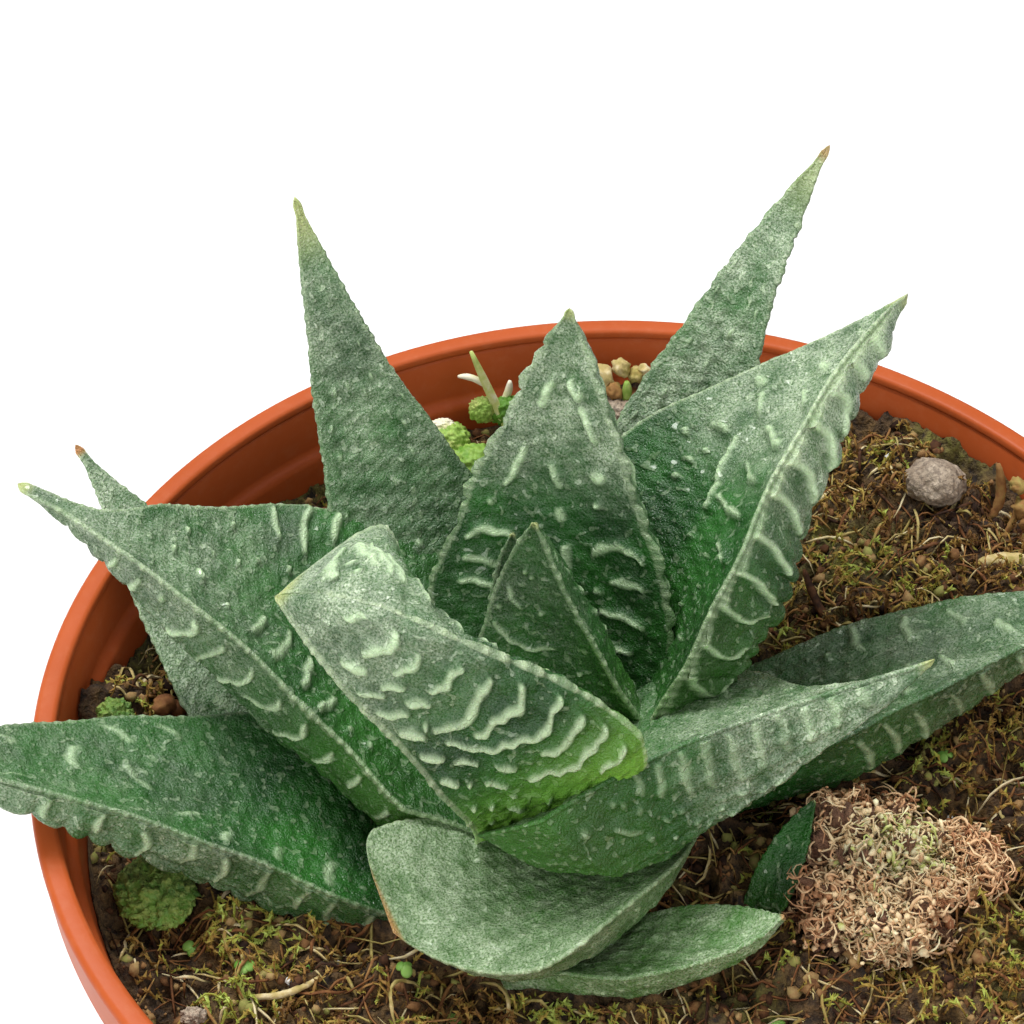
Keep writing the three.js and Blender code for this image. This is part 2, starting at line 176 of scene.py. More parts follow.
# The leaves of the solids with their skin. A spine is a cubic curve from root to tip, measured from the
# crown, and only the tip of leaf_left runs out a little further than in its solid. face says where the
# upper side looks at the root, the middle and the tip. half is the half width, root its share at the root,
# widest where it is full, taper and slim how it runs out, and shoulder and fold how a margin steps in or
# opens. keel is how deep the keel stands, keelAt where it runs across, clasp and full how the depth starts
# and ends, cup how hollow the upper side is and nose how round the root is.
# bloom is how grey and waxy the skin is: upper side at the root and the tip, then flanks at the root and
# the tip, and rise is where along the leaf it sets in and is full. warm is how far the yellow-green of the
# root runs up, fresh how much of it is everywhere, rim how pale the margins are, lobes how tall the scallops
# stand on the margins and on the keel, dry how brown the tip is and tipFrom where the tip's colour starts.
# marks are raised welts, each run through one, two or three places in percent (along, across). Across is
# -100 to 100 on the upper side, and 0 at the margin to 100 at the keel on a flank. tall, wide and pale are
# for the welts, plate is how far the skin stands up behind them, fine the number of points across a flank
# and station the step along the leaf. bars fill every side that has no marks: rows along the leaf, cells
# across it, arch is how far a row bends towards the tip, long and wide its size, tall its height and keep
# how many are there.
leafTable = {
    "leaf_heart": {
        "spine": [(-1, 1, 3), (-3, -2, 12), (-4.5, 1.5, 20), (-4, 2.5, 28)],
        "face": [(-0.3, -0.8, 0.5), (-0.4, -0.7, 0.6), (-0.4, -0.7, 0.6)],
        "half": 8, "root": 0.9, "widest": 0.15, "taper": (1.2, 1.2), "keel": 0.7, "keelAt": 0.5,
        "bloom": (0, 0.2, 0, 0.15), "warm": 0.1, "rim": 0.8, "lobes": (0.12, 0.3),
        "pale": 0.8,
        "marks": {
            "face": [
                [(79, -30)], [(76, -5)], [(70, -66), (66, -60), (63, -42)], [(61, 7)], [(61, -86)],
                [(54, -80), (46, -40), (46, 20)], [(38, 50)], [(30, -30), (30, 20)],
            ],
        },
        "bars": {"rows": 9, "cells": 2, "arch": 0.8, "long": 0.7, "wide": 0.35, "tall": 0.3, "keep": 0.6},
    },
    "leaf_bud": {
        "spine": [(-3, 4, 4), (-5, 4, 12), (-6, 5, 18), (-6, 6, 23)],
        "face": [(-0.1, -0.7, 0.7), (-0.1, -0.7, 0.7), (-0.1, -0.7, 0.7)],
        "half": 4, "root": 0.9, "widest": 0.15, "taper": (1.2, 1.2), "keel": 0.6, "keelAt": 0.2,
        "bloom": (0, 0.15, 0, 0.15), "warm": 0.1, "rim": 0.7, "lobes": (0.1, 0.1),
        "bars": {"rows": 7, "cells": 1.2, "arch": 0.5, "long": 0.5, "wide": 0.3, "tall": 0.2, "keep": 0.5},
    },
    "leaf_curled": {
        "spine": [(3, -2, 5), (-2, -3.5, 13), (-12, -13, 25), (-24, -8.5, 29.5)],
        "face": [(0.1, 0.55, -0.2), (-0.2, 0.3, -0.5), (-0.5, 0.4, -0.8)],
        "half": 12, "root": 0.8, "widest": 0.3, "taper": (7, 1.3), "fold": (0.25, 0.65, 0.87),
        "keel": 1.4, "keelAt": -0.1, "clasp": 0.1, "full": 2,
        "bloom": (0, 0.4, -0.3, 0.6), "rise": (0.4, 0.92), "warm": 1.3, "rim": 1.0,
        "lobes": (0.12, 0.6),
        "tall": 0.55, "wide": 0.5, "pale": 1.0, "fine": 84, "station": 0.16,
        "marks": {
            "right": [
                [(86, 80), (87, 62)], [(80, 78), (80, 58), (81.5, 38)], [(75, 68), (76, 42)],
                [(69, 76), (69, 60), (70.5, 45)], [(65, 80), (63, 52), (64, 26)],
                [(60, 86), (58.5, 64), (59.5, 40)], [(55, 90), (53, 55), (61, 24)],
                [(50, 88), (48, 72), (49, 56)], [(46.5, 92), (43.5, 66), (46, 40)],
                [(41, 88), (39, 70)], [(84, 16), (80, 25)], [(79, 10), (75.5, 20)],
                [(76, 27), (73.5, 34)], [(74, 8), (70, 18)], [(71, 26), (68.5, 34)],
                [(69, 6), (65.5, 16)], [(66, 22)], [(63, 8), (60, 15)], [(57.5, 17), (55, 24)],
                [(53, 32), (50, 38)], [(57, 5), (54.5, 9)], [(52, 14)], [(50, 22), (47.5, 28)],
                [(44, 26)], [(47, 8)], [(44, 14)], [(41, 20), (39, 24)], [(38, 38)], [(36, 54)],
                [(39, 8)], [(35, 16)], [(33, 30)],
            ],
            "left": [
                [(93, 25), (92.5, 85)], [(90, 26), (88, 40), (86.5, 56)], [(89, 68)],
                [(87, 30), (85, 48), (83.5, 62)], [(84, 42), (81, 62)], [(90, 56)],
                [(78, 50), (76, 70)], [(72, 50), (70, 75)], [(66, 50), (64, 75)],
            ],
        },
        "bars": {"rows": 9, "cells": 2, "arch": 0.6, "long": 0.6, "wide": 0.3, "tall": 0.25, "keep": 0.35},
    },
    "leaf_middle": {
        "spine": [(-3, 4, 2), (-2.5, 8, 12), (-3, 13, 24), (-2, 18, 38)],
        "face": [(-0.3, -0.8, 0.5), (-0.3, -0.7, 0.6), (-0.3, -0.7, 0.7)],
        "half": 11, "root": 0.7, "widest": 0.3, "taper": (1.2, 1.2), "keel": 0.7, "keelAt": 0.6,
        "bloom": (-0.15, 0.75, 0, 0.55), "rise": (0.45, 0.8), "warm": 0.05, "rim": 0.75,
        "lobes": (0.85, 0.4),
        "tall": 0.55, "wide": 0.58, "pale": 0.95,
        "marks": {
            "face": [
                [(78, -53), (84, -28)], [(85, 30), (82, 42), (82.5, 62)], [(68, -52), (60, -68)],
                [(54.5, -76)], [(65, -10), (61, -3)], [(64, 50), (66, 72)], [(55.5, 2), (53, 6)],
                [(58, 50)], [(79, 44), (73, 62)], [(45, -90), (47.5, -72), (47, -50)],
                [(39, -80), (39, -50)], [(33, -80), (33, -45)], [(46, 6), (40, 10)],
                [(46, 36), (49, 55), (47, 86)], [(40, 55), (40, 84)], [(37, 40)], [(32, 40), (30, 76)],
                [(28, -20), (28, 10)], [(22, 30), (22, 70)],
            ],
        },
        "bars": {"rows": 11, "cells": 2.4, "arch": 0.8, "long": 0.7, "wide": 0.45, "tall": 0.4, "keep": 0.7},
    },
    "leaf_right": {
        "spine": [(3, 1, 1), (0, 7.5, 17), (7, 13.5, 28.5), (27.3, 30.5, 30.5)],
        "face": [(-0.5, -0.15, 0), (-0.3, -0.3, 0.65), (-0.8, 0.2, 0.5)],
        "half": 12, "root": 0.5, "widest": 0.44, "taper": (1.5, 1.8), "slim": 0.9, "keel": 0.35,
        "keelAt": 0.85, "cup": 0.4,
        "bloom": (-0.25, 0.75, 0.05, 0.85), "rise": (0.5, 0.8), "warm": 0.1, "rim": 1.0,
        "lobes": (0.1, 0.95),
        "tall": 0.55, "wide": 0.55, "pale": 1.0, "plate": 1.3, "fine": 64,
        "marks": {
            "face": [
                [(79, -81), (79, -70)], [(77, -53), (75, -35)], [(69, -63), (69, -49)],
                [(69, -30), (63, -16), (55, -2)], [(73, 2), (71, 50)], [(66, 14), (64, 50)],
                [(58, 4), (57, 56)], [(65, -72)], [(64, -44)], [(61, -52)], [(57, -49)], [(48, -2)],
                [(47, 26)], [(40, 40)], [(80, 10), (79, 40)], [(86, -10), (85, 20)],
                [(50, 40), (49, 66)], [(34, 30)], [(28, 50)],
            ],
            "right": [
                [(90, 5), (90, 50)], [(85, 5), (86, 45)], [(80, 3), (81, 30), (79, 55)],
                [(74.5, 2), (75.5, 36), (74, 64)], [(68.5, 2), (69.5, 30), (68, 55)],
                [(63, 3), (63.5, 30), (62, 50)], [(56, 3), (56, 30), (54.5, 50)],
                [(49, 3), (48.5, 25), (46.5, 50)], [(42, 3), (40, 24), (43, 46)],
                [(33, 5), (30, 27), (33, 46)], [(25, 5), (19, 40), (23, 60)], [(15, 10), (16, 40)],
            ],
        },
        "bars": {
            "rows": 12, "cells": 1.25, "arch": -1.2, "long": 1.0, "wide": 0.6, "tall": 0.5, "keep": 0.95,
        },
    },
    "leaf_left": {
        "spine": [(1.4, 1.1, 1), (-22.8, 7.6, 11.3), (-31.7, 1.7, 21.3), (-49, 9.8, 22.4)],
        "face": [(0.8, -0.15, 0.55), (0, 0, 0.45), (-0.5, 0.15, 0.65)],
        "half": 14.7, "root": 0.85, "widest": 0.2, "taper": (1.1, 1.8), "slim": 1.6,
        "shoulder": (0, 0.8), "keel": 0.5, "keelAt": -0.77,
        "bloom": (-0.1, 0.36, 0.0, 0.5), "rise": (0.3, 0.7), "warm": 0.12, "rim": 0.8,
        "lobes": (0.1, 0.45),
        "tall": 0.62, "wide": 0.58, "pale": 1.0, "plate": 0.6, "fine": 60,
        "marks": {
            "face": [
                [(61, 72)], [(54, 94), (52, 65)], [(48, 98), (47, 61)], [(43, 95), (42, 75)],
                [(63, 30)], [(58, 29)], [(54, 37)], [(48, 37)], [(64, -12), (63, -24)], [(58, -50)],
                [(51, -37), (52, -68)], [(46, -29), (46, -54), (48, -78)],
                [(41, -46), (41, -61), (42, -84)], [(36, -68), (38, -92)], [(32, -86)], [(28, -81)],
                [(70, 10)], [(69, 55)],
            ],
            "left": [
                [(80, 50), (79, 20)], [(75, 60), (74, 25)], [(69, 24)], [(65, 65), (62, 29), (62, 13)],
                [(58, 71), (57, 39), (56, 18)], [(53, 61), (51, 39), (50, 15)],
                [(48, 48), (45, 32), (44, 13)], [(41, 45), (38.5, 28), (39, 11)],
                [(34, 39), (33, 25), (33, 13)], [(28, 29), (28, 11)], [(22, 30), (22, 12)],
            ],
        },
        "bars": {
            "rows": 14, "cells": 1.8, "arch": -1.0, "long": 0.75, "wide": 0.5, "tall": 0.45, "keep": 0.85,
        },
    },
    "leaf_back_left": {
        "spine": [(-4, 4, 0), (-14, 17, 7), (-19, 19.5, 17), (-27, 33, 36.5)],
        "face": [(0.45, -0.55, 0.9), (0.2, -0.65, 0.6), (0.2, -0.8, 0.3)],
        "half": 8.9, "root": 0.8, "widest": 0.3, "taper": (1.3, 1.05), "slim": 1.1, "keel": 0.7,
        "keelAt": 0,
        "bloom": (0.08, 0.5, 0.1, 0.4), "warm": 0, "rim": 0.55, "lobes": (0.12, 0.3), "tipFrom": 0.9,
        "bars": {"rows": 20, "cells": 3, "arch": 0.4, "long": 0.35, "wide": 0.35, "tall": 0.32, "keep": 0.45},
    },
    "leaf_back_right": {
        "spine": [(2, 4, 0), (4.5, 17, 6), (6.5, 28, 20.5), (20, 41.5, 38)],
        "face": [(-0.1, -0.65, 0.9), (-0.2, -0.55, 0.65), (-0.4, -0.65, 0.3)],
        "half": 8.9, "root": 0.8, "widest": 0.4, "taper": (0.8, 0.9), "slim": 1.05, "keel": 0.7,
        "keelAt": 0,
        "bloom": (0.2, 0.68, 0.15, 0.5), "warm": 0, "rim": 0.55, "lobes": (0.3, 0.3), "dry": 0.6,
        "tipFrom": 0.88,
        "bars": {"rows": 24, "cells": 3.2, "arch": 0.4, "long": 0.4, "wide": 0.35, "tall": 0.32, "keep": 0.5},
    },
    "leaf_front_right": {
        "spine": [(-3, -9.5, 3.5), (0, -6.5, 15.5), (12.5, -8, 15.5), (29.3, -4.5, 21.5)],
        "face": [(-0.25, 0.5, 0.25), (-0.9, 0.2, 1), (-0.85, 0.75, 0.3)],
        "half": 12, "root": 0.7, "widest": 0.25, "taper": (6, 0.6), "shoulder": (0.72, 0), "keel": 0.8,
        "keelAt": 0.6, "nose": 0.09,
        "bloom": (0.3, 0.6, -0.25, 0.6), "rise": (0.3, 0.75), "warm": 0.1, "rim": 0.4,
        "lobes": (0.1, 0.25),
        "tall": 0.42, "wide": 0.62, "pale": 0.35, "plate": 0.4, "fine": 64,
        "marks": {
            "right": [
                [(36, 10)], [(38, 16)], [(41, 28)], [(34, 28), (38, 40)], [(28, 22)], [(45, 46)],
                [(39, 50)], [(49, 44)], [(51, 64)], [(54, 80)], [(57, 70)], [(60, 88)],
                [(43, 4), (43, 18)], [(48, 3), (47, 24)], [(53, 3), (53, 32)], [(58, 3), (58, 40)],
                [(63, 3), (64, 42)], [(68, 3), (69, 44)], [(72.5, 5), (74, 46)], [(77, 5), (78.5, 50)],
                [(82, 5), (83, 50)], [(87, 10), (88, 50)], [(45, 68)], [(62, 60)], [(66, 75)],
                [(70, 85)],
            ],
        },
        "bars": {"rows": 15, "cells": 4, "arch": 1.2, "long": 0.55, "wide": 0.4, "tall": 0.25, "keep": 0.35},
    },
    "leaf_front_blunt": {
        "spine": [(6, -8, 1), (2, -14, 5), (-6, -18, 6), (-14, -22, 4)],
        "face": [(-0.2, 0.55, 0.8), (-0.15, 0.25, 0.95), (0, -0.35, 0.95)],
        "half": 9, "root": 0.6, "widest": 0.6, "taper": (2, 20), "keel": 0.7, "keelAt": -0.4, "full": 4,
        "bloom": (0.4, 0.85, 0.45, 0.8), "warm": 0, "fresh": 0.12, "rim": 0.7, "lobes": (0.05, 0.1),
        "dry": 0.8,
        "bars": {"rows": 24, "cells": 7, "arch": 0.3, "long": 0.3, "wide": 0.2, "tall": 0.08, "keep": 0.25},
    },
    "leaf_far_right": {
        "spine": [(5, 0, -1), (20, 6, 4), (32, 12, 9), (50, 15, 10)],
        "face": [(-0.4, 0.25, 0.9), (-0.3, 0.25, 0.9), (-0.1, 0.2, 1)],
        "half": 8, "root": 0.8, "widest": 0.35, "taper": (1.6, 1.6), "keel": 0.9, "keelAt": 0.5,
        "bloom": (0.1, 0.48, 0, 0.35), "warm": 0, "rim": 0.35, "lobes": (0.14, 0.45),
        "tall": 0.45, "wide": 0.6, "pale": 0.5, "plate": 0.7,
        "marks": {
            "face": [
                [(49, -91), (49, -53)], [(59, -81), (57.5, -35)], [(61, 30), (62, 60)],
                [(67, -70), (68, -30)], [(55, 20), (52, 80)], [(74, -20), (75, 30)], [(43, -60)],
            ],
            "right": [
                [(40, 10), (41, 60)], [(46, 10), (47, 60)], [(52, 10), (53.5, 70)],
                [(60, 10), (61.5, 65)], [(67, 10), (68, 60)], [(75, 10), (76, 60)],
            ],
        },
        "bars": {"rows": 14, "cells": 1.4, "arch": 0.8, "long": 0.8, "wide": 0.4, "tall": 0.35, "keep": 0.8},
    },
    "leaf_front_left": {
        "spine": [(-4, -1, -5), (-15.8, -9.8, -0.5), (-36.6, -8.4, 8.6), (-56.8, -17.1, 17.7)],
        "face": [(-0.55, -0.45, 0.5), (-0.25, 0.05, 0.65), (0.3, 0.15, 0.6)],
        "half": 10, "root": 0.8, "widest": 0.28, "taper": (0.9, 2.1), "keel": 0.55, "keelAt": -0.9,
        "bloom": (-0.1, 0.24, 0.05, 0.5), "warm": 0, "rim": 0.6, "lobes": (0.12, 1.0),
        "tall": 0.6, "wide": 0.52, "pale": 0.75, "plate": 0.8, "fine": 56,
        "marks": {
            "left": [
                [(78, 15), (78, 50)], [(71, 10), (71, 45)], [(65, 11), (64, 30), (65, 52)],
                [(59, 5), (58, 20), (59, 38)], [(54, 6), (53, 25), (54, 45)],
                [(48, 5), (47.5, 30), (49, 52)], [(42, 5), (42, 42)], [(38, 4), (37, 39)],
                [(32, 8), (31, 40)], [(26, 10), (26, 40)],
            ],
        },
        "bars": {"rows": 13, "cells": 1.4, "arch": 0.8, "long": 0.9, "wide": 0.4, "tall": 0.14, "keep": 0.6},
    },
    "leaf_far_left": {
        "spine": [(-3, 1, -1), (-28, 3, -1), (-35, 12, 5), (-47, 22.5, 15)],
        "face": [(0.1, -0.4, 0.9), (0.3, -0.5, 0.9), (0.3, -0.5, 0.8)],
        "half": 10, "root": 0.8, "widest": 0.3, "taper": (1.4, 1.4), "slim": 1.4, "keel": 0.6,
        "keelAt": -0.2,
        "bloom": (0.3, 0.7, 0.3, 0.7), "warm": 0, "rim": 0.5, "lobes": (0.1, 0.2), "dry": 1,
        "bars": {
            "rows": 14, "cells": 2.4, "arch": 0.8, "long": 0.5, "wide": 0.35, "tall": 0.25, "keep": 0.35,
        },
    },
    "leaf_front_low": {
        "spine": [(-5, -19, -5), (6.5, -17, 0), (13.5, -21, 2), (18, -19.5, 6)],
        "face": [(-0.2, 0.6, 0.3), (-0.7, 0.1, 1), (-0.3, 0.2, 1)],
        "half": 4.4, "root": 0.7, "widest": 0.37, "taper": (2.7, 1), "slim": 1.1, "keel": 0.7,
        "keelAt": 0.6,
        "bloom": (0.5, 0.65, 0.45, 0.7), "warm": 0, "fresh": 0.14, "rim": 0.3, "lobes": (0.06, 0.12),
        "dry": 0.8,
        "bars": {"rows": 16, "cells": 3, "arch": 0.5, "long": 0.4, "wide": 0.28, "tall": 0.14, "keep": 0.4},
    },
    "leaf_offset": {
        "spine": [(15.8, -13.2, -5), (17.8, -11.7, 1.7), (19.3, -7.7, 2.7), (20.8, -5.4, 3.7)],
        "face": [(-0.4, -0.4, 0.8), (-0.4, -0.4, 0.8), (-0.4, -0.4, 0.8)],
        "half": 1.8, "root": 0.8, "widest": 0.3, "taper": (1.5, 1.5), "keel": 0.7, "keelAt": 0,
        "bloom": (-0.1, 0, -0.1, 0), "warm": 0.1, "rim": 0.2, "lobes": (0, 0),
        "bars": {"rows": 6, "cells": 2, "arch": 0.5, "long": 0.4, "wide": 0.25, "tall": 0.08, "keep": 0.3},
    },
}
# edge is how thick a margin is, station the step along a leaf, bulge how round a flank is and blunt how much
# the keel is rounded off, grain and pucker how tall the finest relief is
leafSkinSizes = {
    "edge": 0.45, "station": 0.21, "facePoints": 58, "flankPoints": 40, "edgePoints": 5,
    "bulge": 0.16, "blunt": 0.35, "bluntPart": 0.07, "grain": 0.035, "pucker": 0.13,
}
toothSizes = {
    "pitch": 0.95, "tall": 0.17, "line": 0.22, "keelLine": 1.3, "lobePitch": 2.7, "keelReach": 2.2,
    "tip": 0.012,
}
markSizes = {"tall": 0.35, "wide": 0.45, "pale": 0.7, "plate": 0, "step": 0.25, "wander": 0.2}


def bezier(points, t):
    degree = len(points) - 1
    total = 0
    for i, point in enumerate(points):
        weight = math.comb(degree, i) * (1 - t) ** (degree - i) * t**i
        total = total + weight[:, None] * np.array(point, float)
    return total


def unit(vectors):
    return vectors / np.linalg.norm(vectors, axis=1, keepdims=True)


def halfWidth(leaf, t, hand):
    rise = leaf["root"] + (1 - leaf["root"]) * np.sin(math.pi / 2 * np.clip(t / leaf["widest"], 0, 1))
    past = np.clip((t - leaf["widest"]) / (1 - leaf["widest"]), 0, 1)
    at = leaf.get("shoulder", (0, 0))[hand]
    step = 0.6 * smooth(t, at - 0.05, at + 0.08) if at else 0
    run = (1 - past ** leaf["taper"][hand]) ** leaf.get("slim", 1) * (1 - step)
    least, start, stop = leaf.get("fold", (1, 0, 1)) if hand == 0 else (1, 0, 1)
    opened = least + (1 - least) * smooth(t, start, stop)
    return opened * leaf["half"] * np.where(t < leaf["widest"], rise, np.maximum(0.03, run))


def raisedBars(t, across, bars, seed, span):
    u = t * bars["rows"] - bars["arch"] * across**2 + 0.18 * np.sin(7 * across + seed)
    row = np.floor(u)
    off = (u - row - 0.5) * span / bars["rows"]
    c = across * bars["cells"] + chance(row, 3.0, seed)
    cell = np.floor(c)
    reach = 0.5 * bars["long"] * (0.4 + 0.6 * chance(row, cell, seed + 1))
    ends = smooth(reach - np.abs(c - cell - 0.5), -0.02, 0.1)
    there = chance(row, cell, seed + 2) < bars["keep"]
    wide = bars["wide"] * np.where(off > 0, 0.75, 1.3)
    strength = 0.55 + 0.45 * chance(row, cell, seed + 5)
    fade = smooth(t, 0.08, 0.18) * (1 - smooth(t, 0.8, 0.93))
    return there * ends * np.exp(-((off / wide) ** 2)) * strength * fade


def placedMarks(t, across, width, marks, wide, span, seed, plate=0):
    u, v = t * span + 0 * across, across * width
    # The welts wander a little instead of running true
    wander = markSizes["wander"]
    u = u + wander * (np.sin(1.3 * v + seed) + 0.35 * np.sin(3.1 * v - 1.7 * u))
    v = v + wander * (np.sin(1.1 * u + 2 * seed) + 0.35 * np.sin(2.9 * u + 1.9 * v))
    raised = np.zeros(v.shape)
    coloured = np.zeros(v.shape)
    for number, welt in enumerate(marks):
        places = np.array(welt) / 100
        first, last = places[0], places[-1]
        length = math.hypot((last[0] - first[0]) * span, (last[1] - first[1]) * float(width.max()))
        k = np.linspace(0, 1, 2 + int(1.3 * length / markSizes["step"]))[:, None]
        # Three places bend the welt into a curve through the middle one
        bend = 2 * places[1] - (first + last) / 2 if len(places) == 3 else (first + last) / 2
        path = (1 - k) ** 2 * first + 2 * k * (1 - k) * bend + k**2 * last
        pathU, pathV = path[:, 0] * span, path[:, 1] * np.interp(path[:, 0], t[:, 0], width[:, 0])
        thick = wide * (0.85 + 0.3 * chance(number, 1.0, seed)) * min(1.0, 0.78 + 0.08 * length)
        size = thick * (0.72 + 0.28 * np.sin(math.pi * k[:, 0])) if length > 1 else thick
        rows = (u[:, 0] > pathU.min() - 3) & (u[:, 0] < pathU.max() + 3)
        du = u[rows][..., None] - pathU
        dv = v[rows][..., None] - pathV
        # A welt falls off sharply towards the root and slopes gently towards the tip
        away = (np.hypot(du * np.where(du > 0, 0.6, 1.0), dv) / size).min(-1)
        near = (np.hypot(du, dv) / size).min(-1)
        strength = 0.75 + 0.35 * chance(number, 2.0, seed)
        raised[rows] = np.maximum(raised[rows], strength * (1 - smooth(away, 0.1, 1.25)))
        if plate and length > 1:
            # Behind a long welt the skin stands up like a plate that sinks away towards the tip
            beside = np.abs(dv).min(-1)
            nearest = np.take_along_axis(du, np.abs(dv).argmin(-1)[..., None], -1)[..., 0]
            ramp = np.where(nearest > 0, 1 - smooth(nearest, 0.0, 3.2), 1 - smooth(-nearest, 0.0, 0.6))
            raised[rows] = np.maximum(raised[rows], plate * ramp * (1 - smooth(beside, 0.0, 1.1)))
        coloured[rows] = np.maximum(coloured[rows], strength * (1 - smooth(near, 0.15, 1.1)))
    return raised, coloured


def toothRow(lengthwise, pitch, seed):
    phase = lengthwise / pitch + 0.3 * np.sin(0.8 * lengthwise + seed)
    k = np.floor(phase)
    return np.exp(-(((phase - k - 0.5) / 0.24) ** 2)) * (0.2 + 0.8 * chance(k, 1.0, seed))


def lobeRow(lengthwise, pitch, seed):
    phase = lengthwise / pitch + 0.25 * np.sin(0.5 * lengthwise + seed)
    k = np.floor(phase)
    return np.sqrt(np.abs(np.sin(math.pi * phase))) * (0.45 + 0.55 * chance(k, 2.0, seed))


def leafSurface(leaf, t, seed):
    sizes = leafSkinSizes
    at = bezier(leaf["spine"], t)
    step = 1e-3
    before, after = np.maximum(t - step, 0), np.minimum(t + step, 1)
    along = unit(bezier(leaf["spine"], after) - bezier(leaf["spine"], before))
    face = bezier(leaf["face"], t)
    up = unit(face - (face * along).sum(1, keepdims=True) * along)
    side = np.cross(along, up)
    lengthwise = np.concatenate([[0], np.cumsum(np.linalg.norm(np.diff(at, axis=0), axis=1))])[:, None]
    span = lengthwise[-1, 0]
    t = t[:, None]

    # One ring: the upper side from left to right, the right edge, the two flanks and the left edge.
    # The points draw together towards the margins and the keel, where the fine relief is.
    even = np.linspace(-1, 1, sizes["facePoints"])
    facePart = 0.5 * even + 0.5 * np.sin(math.pi / 2 * even)
    even = np.linspace(0, 1, leaf.get("fine", sizes["flankPoints"]))
    flankPart = 0.5 * even + 0.25 * (1 - np.cos(math.pi * even))
    arc = np.linspace(0, math.pi, sizes["edgePoints"] + 2)[1:-1]
    zone = np.concatenate([
        np.full(facePart.size, 0), np.full(arc.size, 1), np.full(flankPart.size, 2),
        np.full(flankPart.size - 1, 3), np.full(arc.size, 4),
    ])[None, :]
    part = np.concatenate([facePart, arc, flankPart, flankPart[::-1][1:], arc[::-1]])[None, :]

    left, right = halfWidth(leaf, t, 0), halfWidth(leaf, t, 1)
    wave = 1 + 0.02 * np.sin(lengthwise * 0.55 + seed)
    left, right = left * wave, right / wave
    h = np.minimum((left + right) / 2, leaf["half"])
    least = leaf.get("clasp", 0.4)
    clasp = least + (1 - least) * np.minimum(1, t / 0.4)
    runOut = (1 - t ** leaf.get("full", 2.4)) ** 0.9
    depth = np.maximum(sizes["edge"] + 0.1, leaf["keel"] * leaf["half"] * clasp * runOut)
    cup = leaf.get("cup", 0.12) * h
    drop = np.minimum(sizes["edge"], 0.5 * depth)
    keelX = leaf["keelAt"] * (left if leaf["keelAt"] < 0 else right)

    isFace, isLeft = zone == 0, (zone == 3) | (zone == 4)
    isFlank, isEdge = (zone == 2) | (zone == 3), (zone == 1) | (zone == 4)
    end = np.where(isLeft, -left, right)
    sign = np.sign(end)
    s = np.where(isFace, part, 0)
    f = np.where(isFlank, part, 0)
    x = np.where(isFace, np.where(s < 0, s * left, s * right), 0)
    z = np.where(isFace, -cup * (1 - s**2), 0)
    x = np.where(isEdge, end + sign * (drop / 2) * np.sin(part), x)
    z = np.where(isEdge, -drop / 2 * (1 - np.cos(part)), z)
    bulge = sizes["bulge"] * h * np.sin(math.pi * f)
    blunt = sizes["blunt"] * np.exp(-(((1 - f) / sizes["bluntPart"]) ** 2))
    x = np.where(isFlank, end + (keelX - end) * f, x)
    z = np.where(isFlank, -drop - (depth + cup - drop) * f - bulge + blunt, z)
    sideLength = np.where(isFace, np.where(s < 0, left, right), np.hypot(end - keelX, depth + cup))

    # Raised marks: the welts listed where a side has them, rows of bars on the others
    sides = {"face": isFace, "right": zone == 2, "left": zone == 3}
    raised = np.zeros((t.size, part.size))
    marks = np.zeros((t.size, part.size))
    for order, (sideName, onSide) in enumerate(sides.items()):
        columns = np.nonzero(onSide[0])[0]
        across = part[:, columns]
        width = sideLength[:, columns]
        if sideName in leaf.get("marks", {}):
            welts = leaf["marks"][sideName]
            wide, tall, plate = (leaf.get(key, markSizes[key]) for key in ("wide", "tall", "plate"))
            halves = [across[0] < 0, across[0] >= 0] if sideName == "face" else [across[0] >= 0]
            for half in halves:
                inHalf = columns[half]
                reach = width[:, half][:, :1]
                stands, pale = placedMarks(t, across[:, half], reach, welts, wide, span, seed, plate)
                raised[:, inHalf] = stands * tall
                marks[:, inHalf] = pale
        else:
            bars = raisedBars(t, across, leaf["bars"], seed + 11 * order, span)
            if sideName == "face":
                bars = bars * (1 - smooth(np.abs(across), 0.86, 0.96))
            else:
                bars = bars * smooth(across, 0.04, 0.14)
            raised[:, columns] = bars * leaf["bars"]["tall"]
            marks[:, columns] = bars

    # Fine teeth and soft lobes along the margins and the keel
    edgeAway = np.where(isFace, (1 - np.abs(s)) * h, np.where(isFlank, f * depth, 0))
    keelAway = np.where(isFlank, (1 - f) * depth, 9)
    line = np.exp(-((edgeAway / toothSizes["line"]) ** 2))
    keelLine = np.exp(-((keelAway / (toothSizes["keelLine"] * toothSizes["line"])) ** 2))
    onLeft = np.where(isFace, s < 0, isLeft)
    grow = smooth(t, 0.06, 0.2) * (1 - smooth(t, 0.9, 0.985))
    pitch, lobePitch = toothSizes["pitch"], toothSizes["lobePitch"]
    teeth = np.where(onLeft, toothRow(lengthwise, pitch, seed), toothRow(lengthwise, pitch, seed + 4)) * grow
    keelTeeth = toothRow(lengthwise, pitch, seed + 9) * grow
    leftLobes, rightLobes = (lobeRow(lengthwise, lobePitch, seed + i) for i in (0, 5))
    lobes = np.where(onLeft, leftLobes, rightLobes) * grow
    keelLobes = lobeRow(lengthwise, lobePitch, seed + 2) * grow
    lobeReach = np.exp(-((edgeAway / np.where(isFace, 0.25, 1.3)) ** 2)) * np.where(isFace, 0.3, 1.0)
    fineGrain = sizes["grain"] * np.sin(lengthwise * 9.1 + 31 * part)
    fineGrain = fineGrain * np.sin(lengthwise * 5.3 - 47 * part)
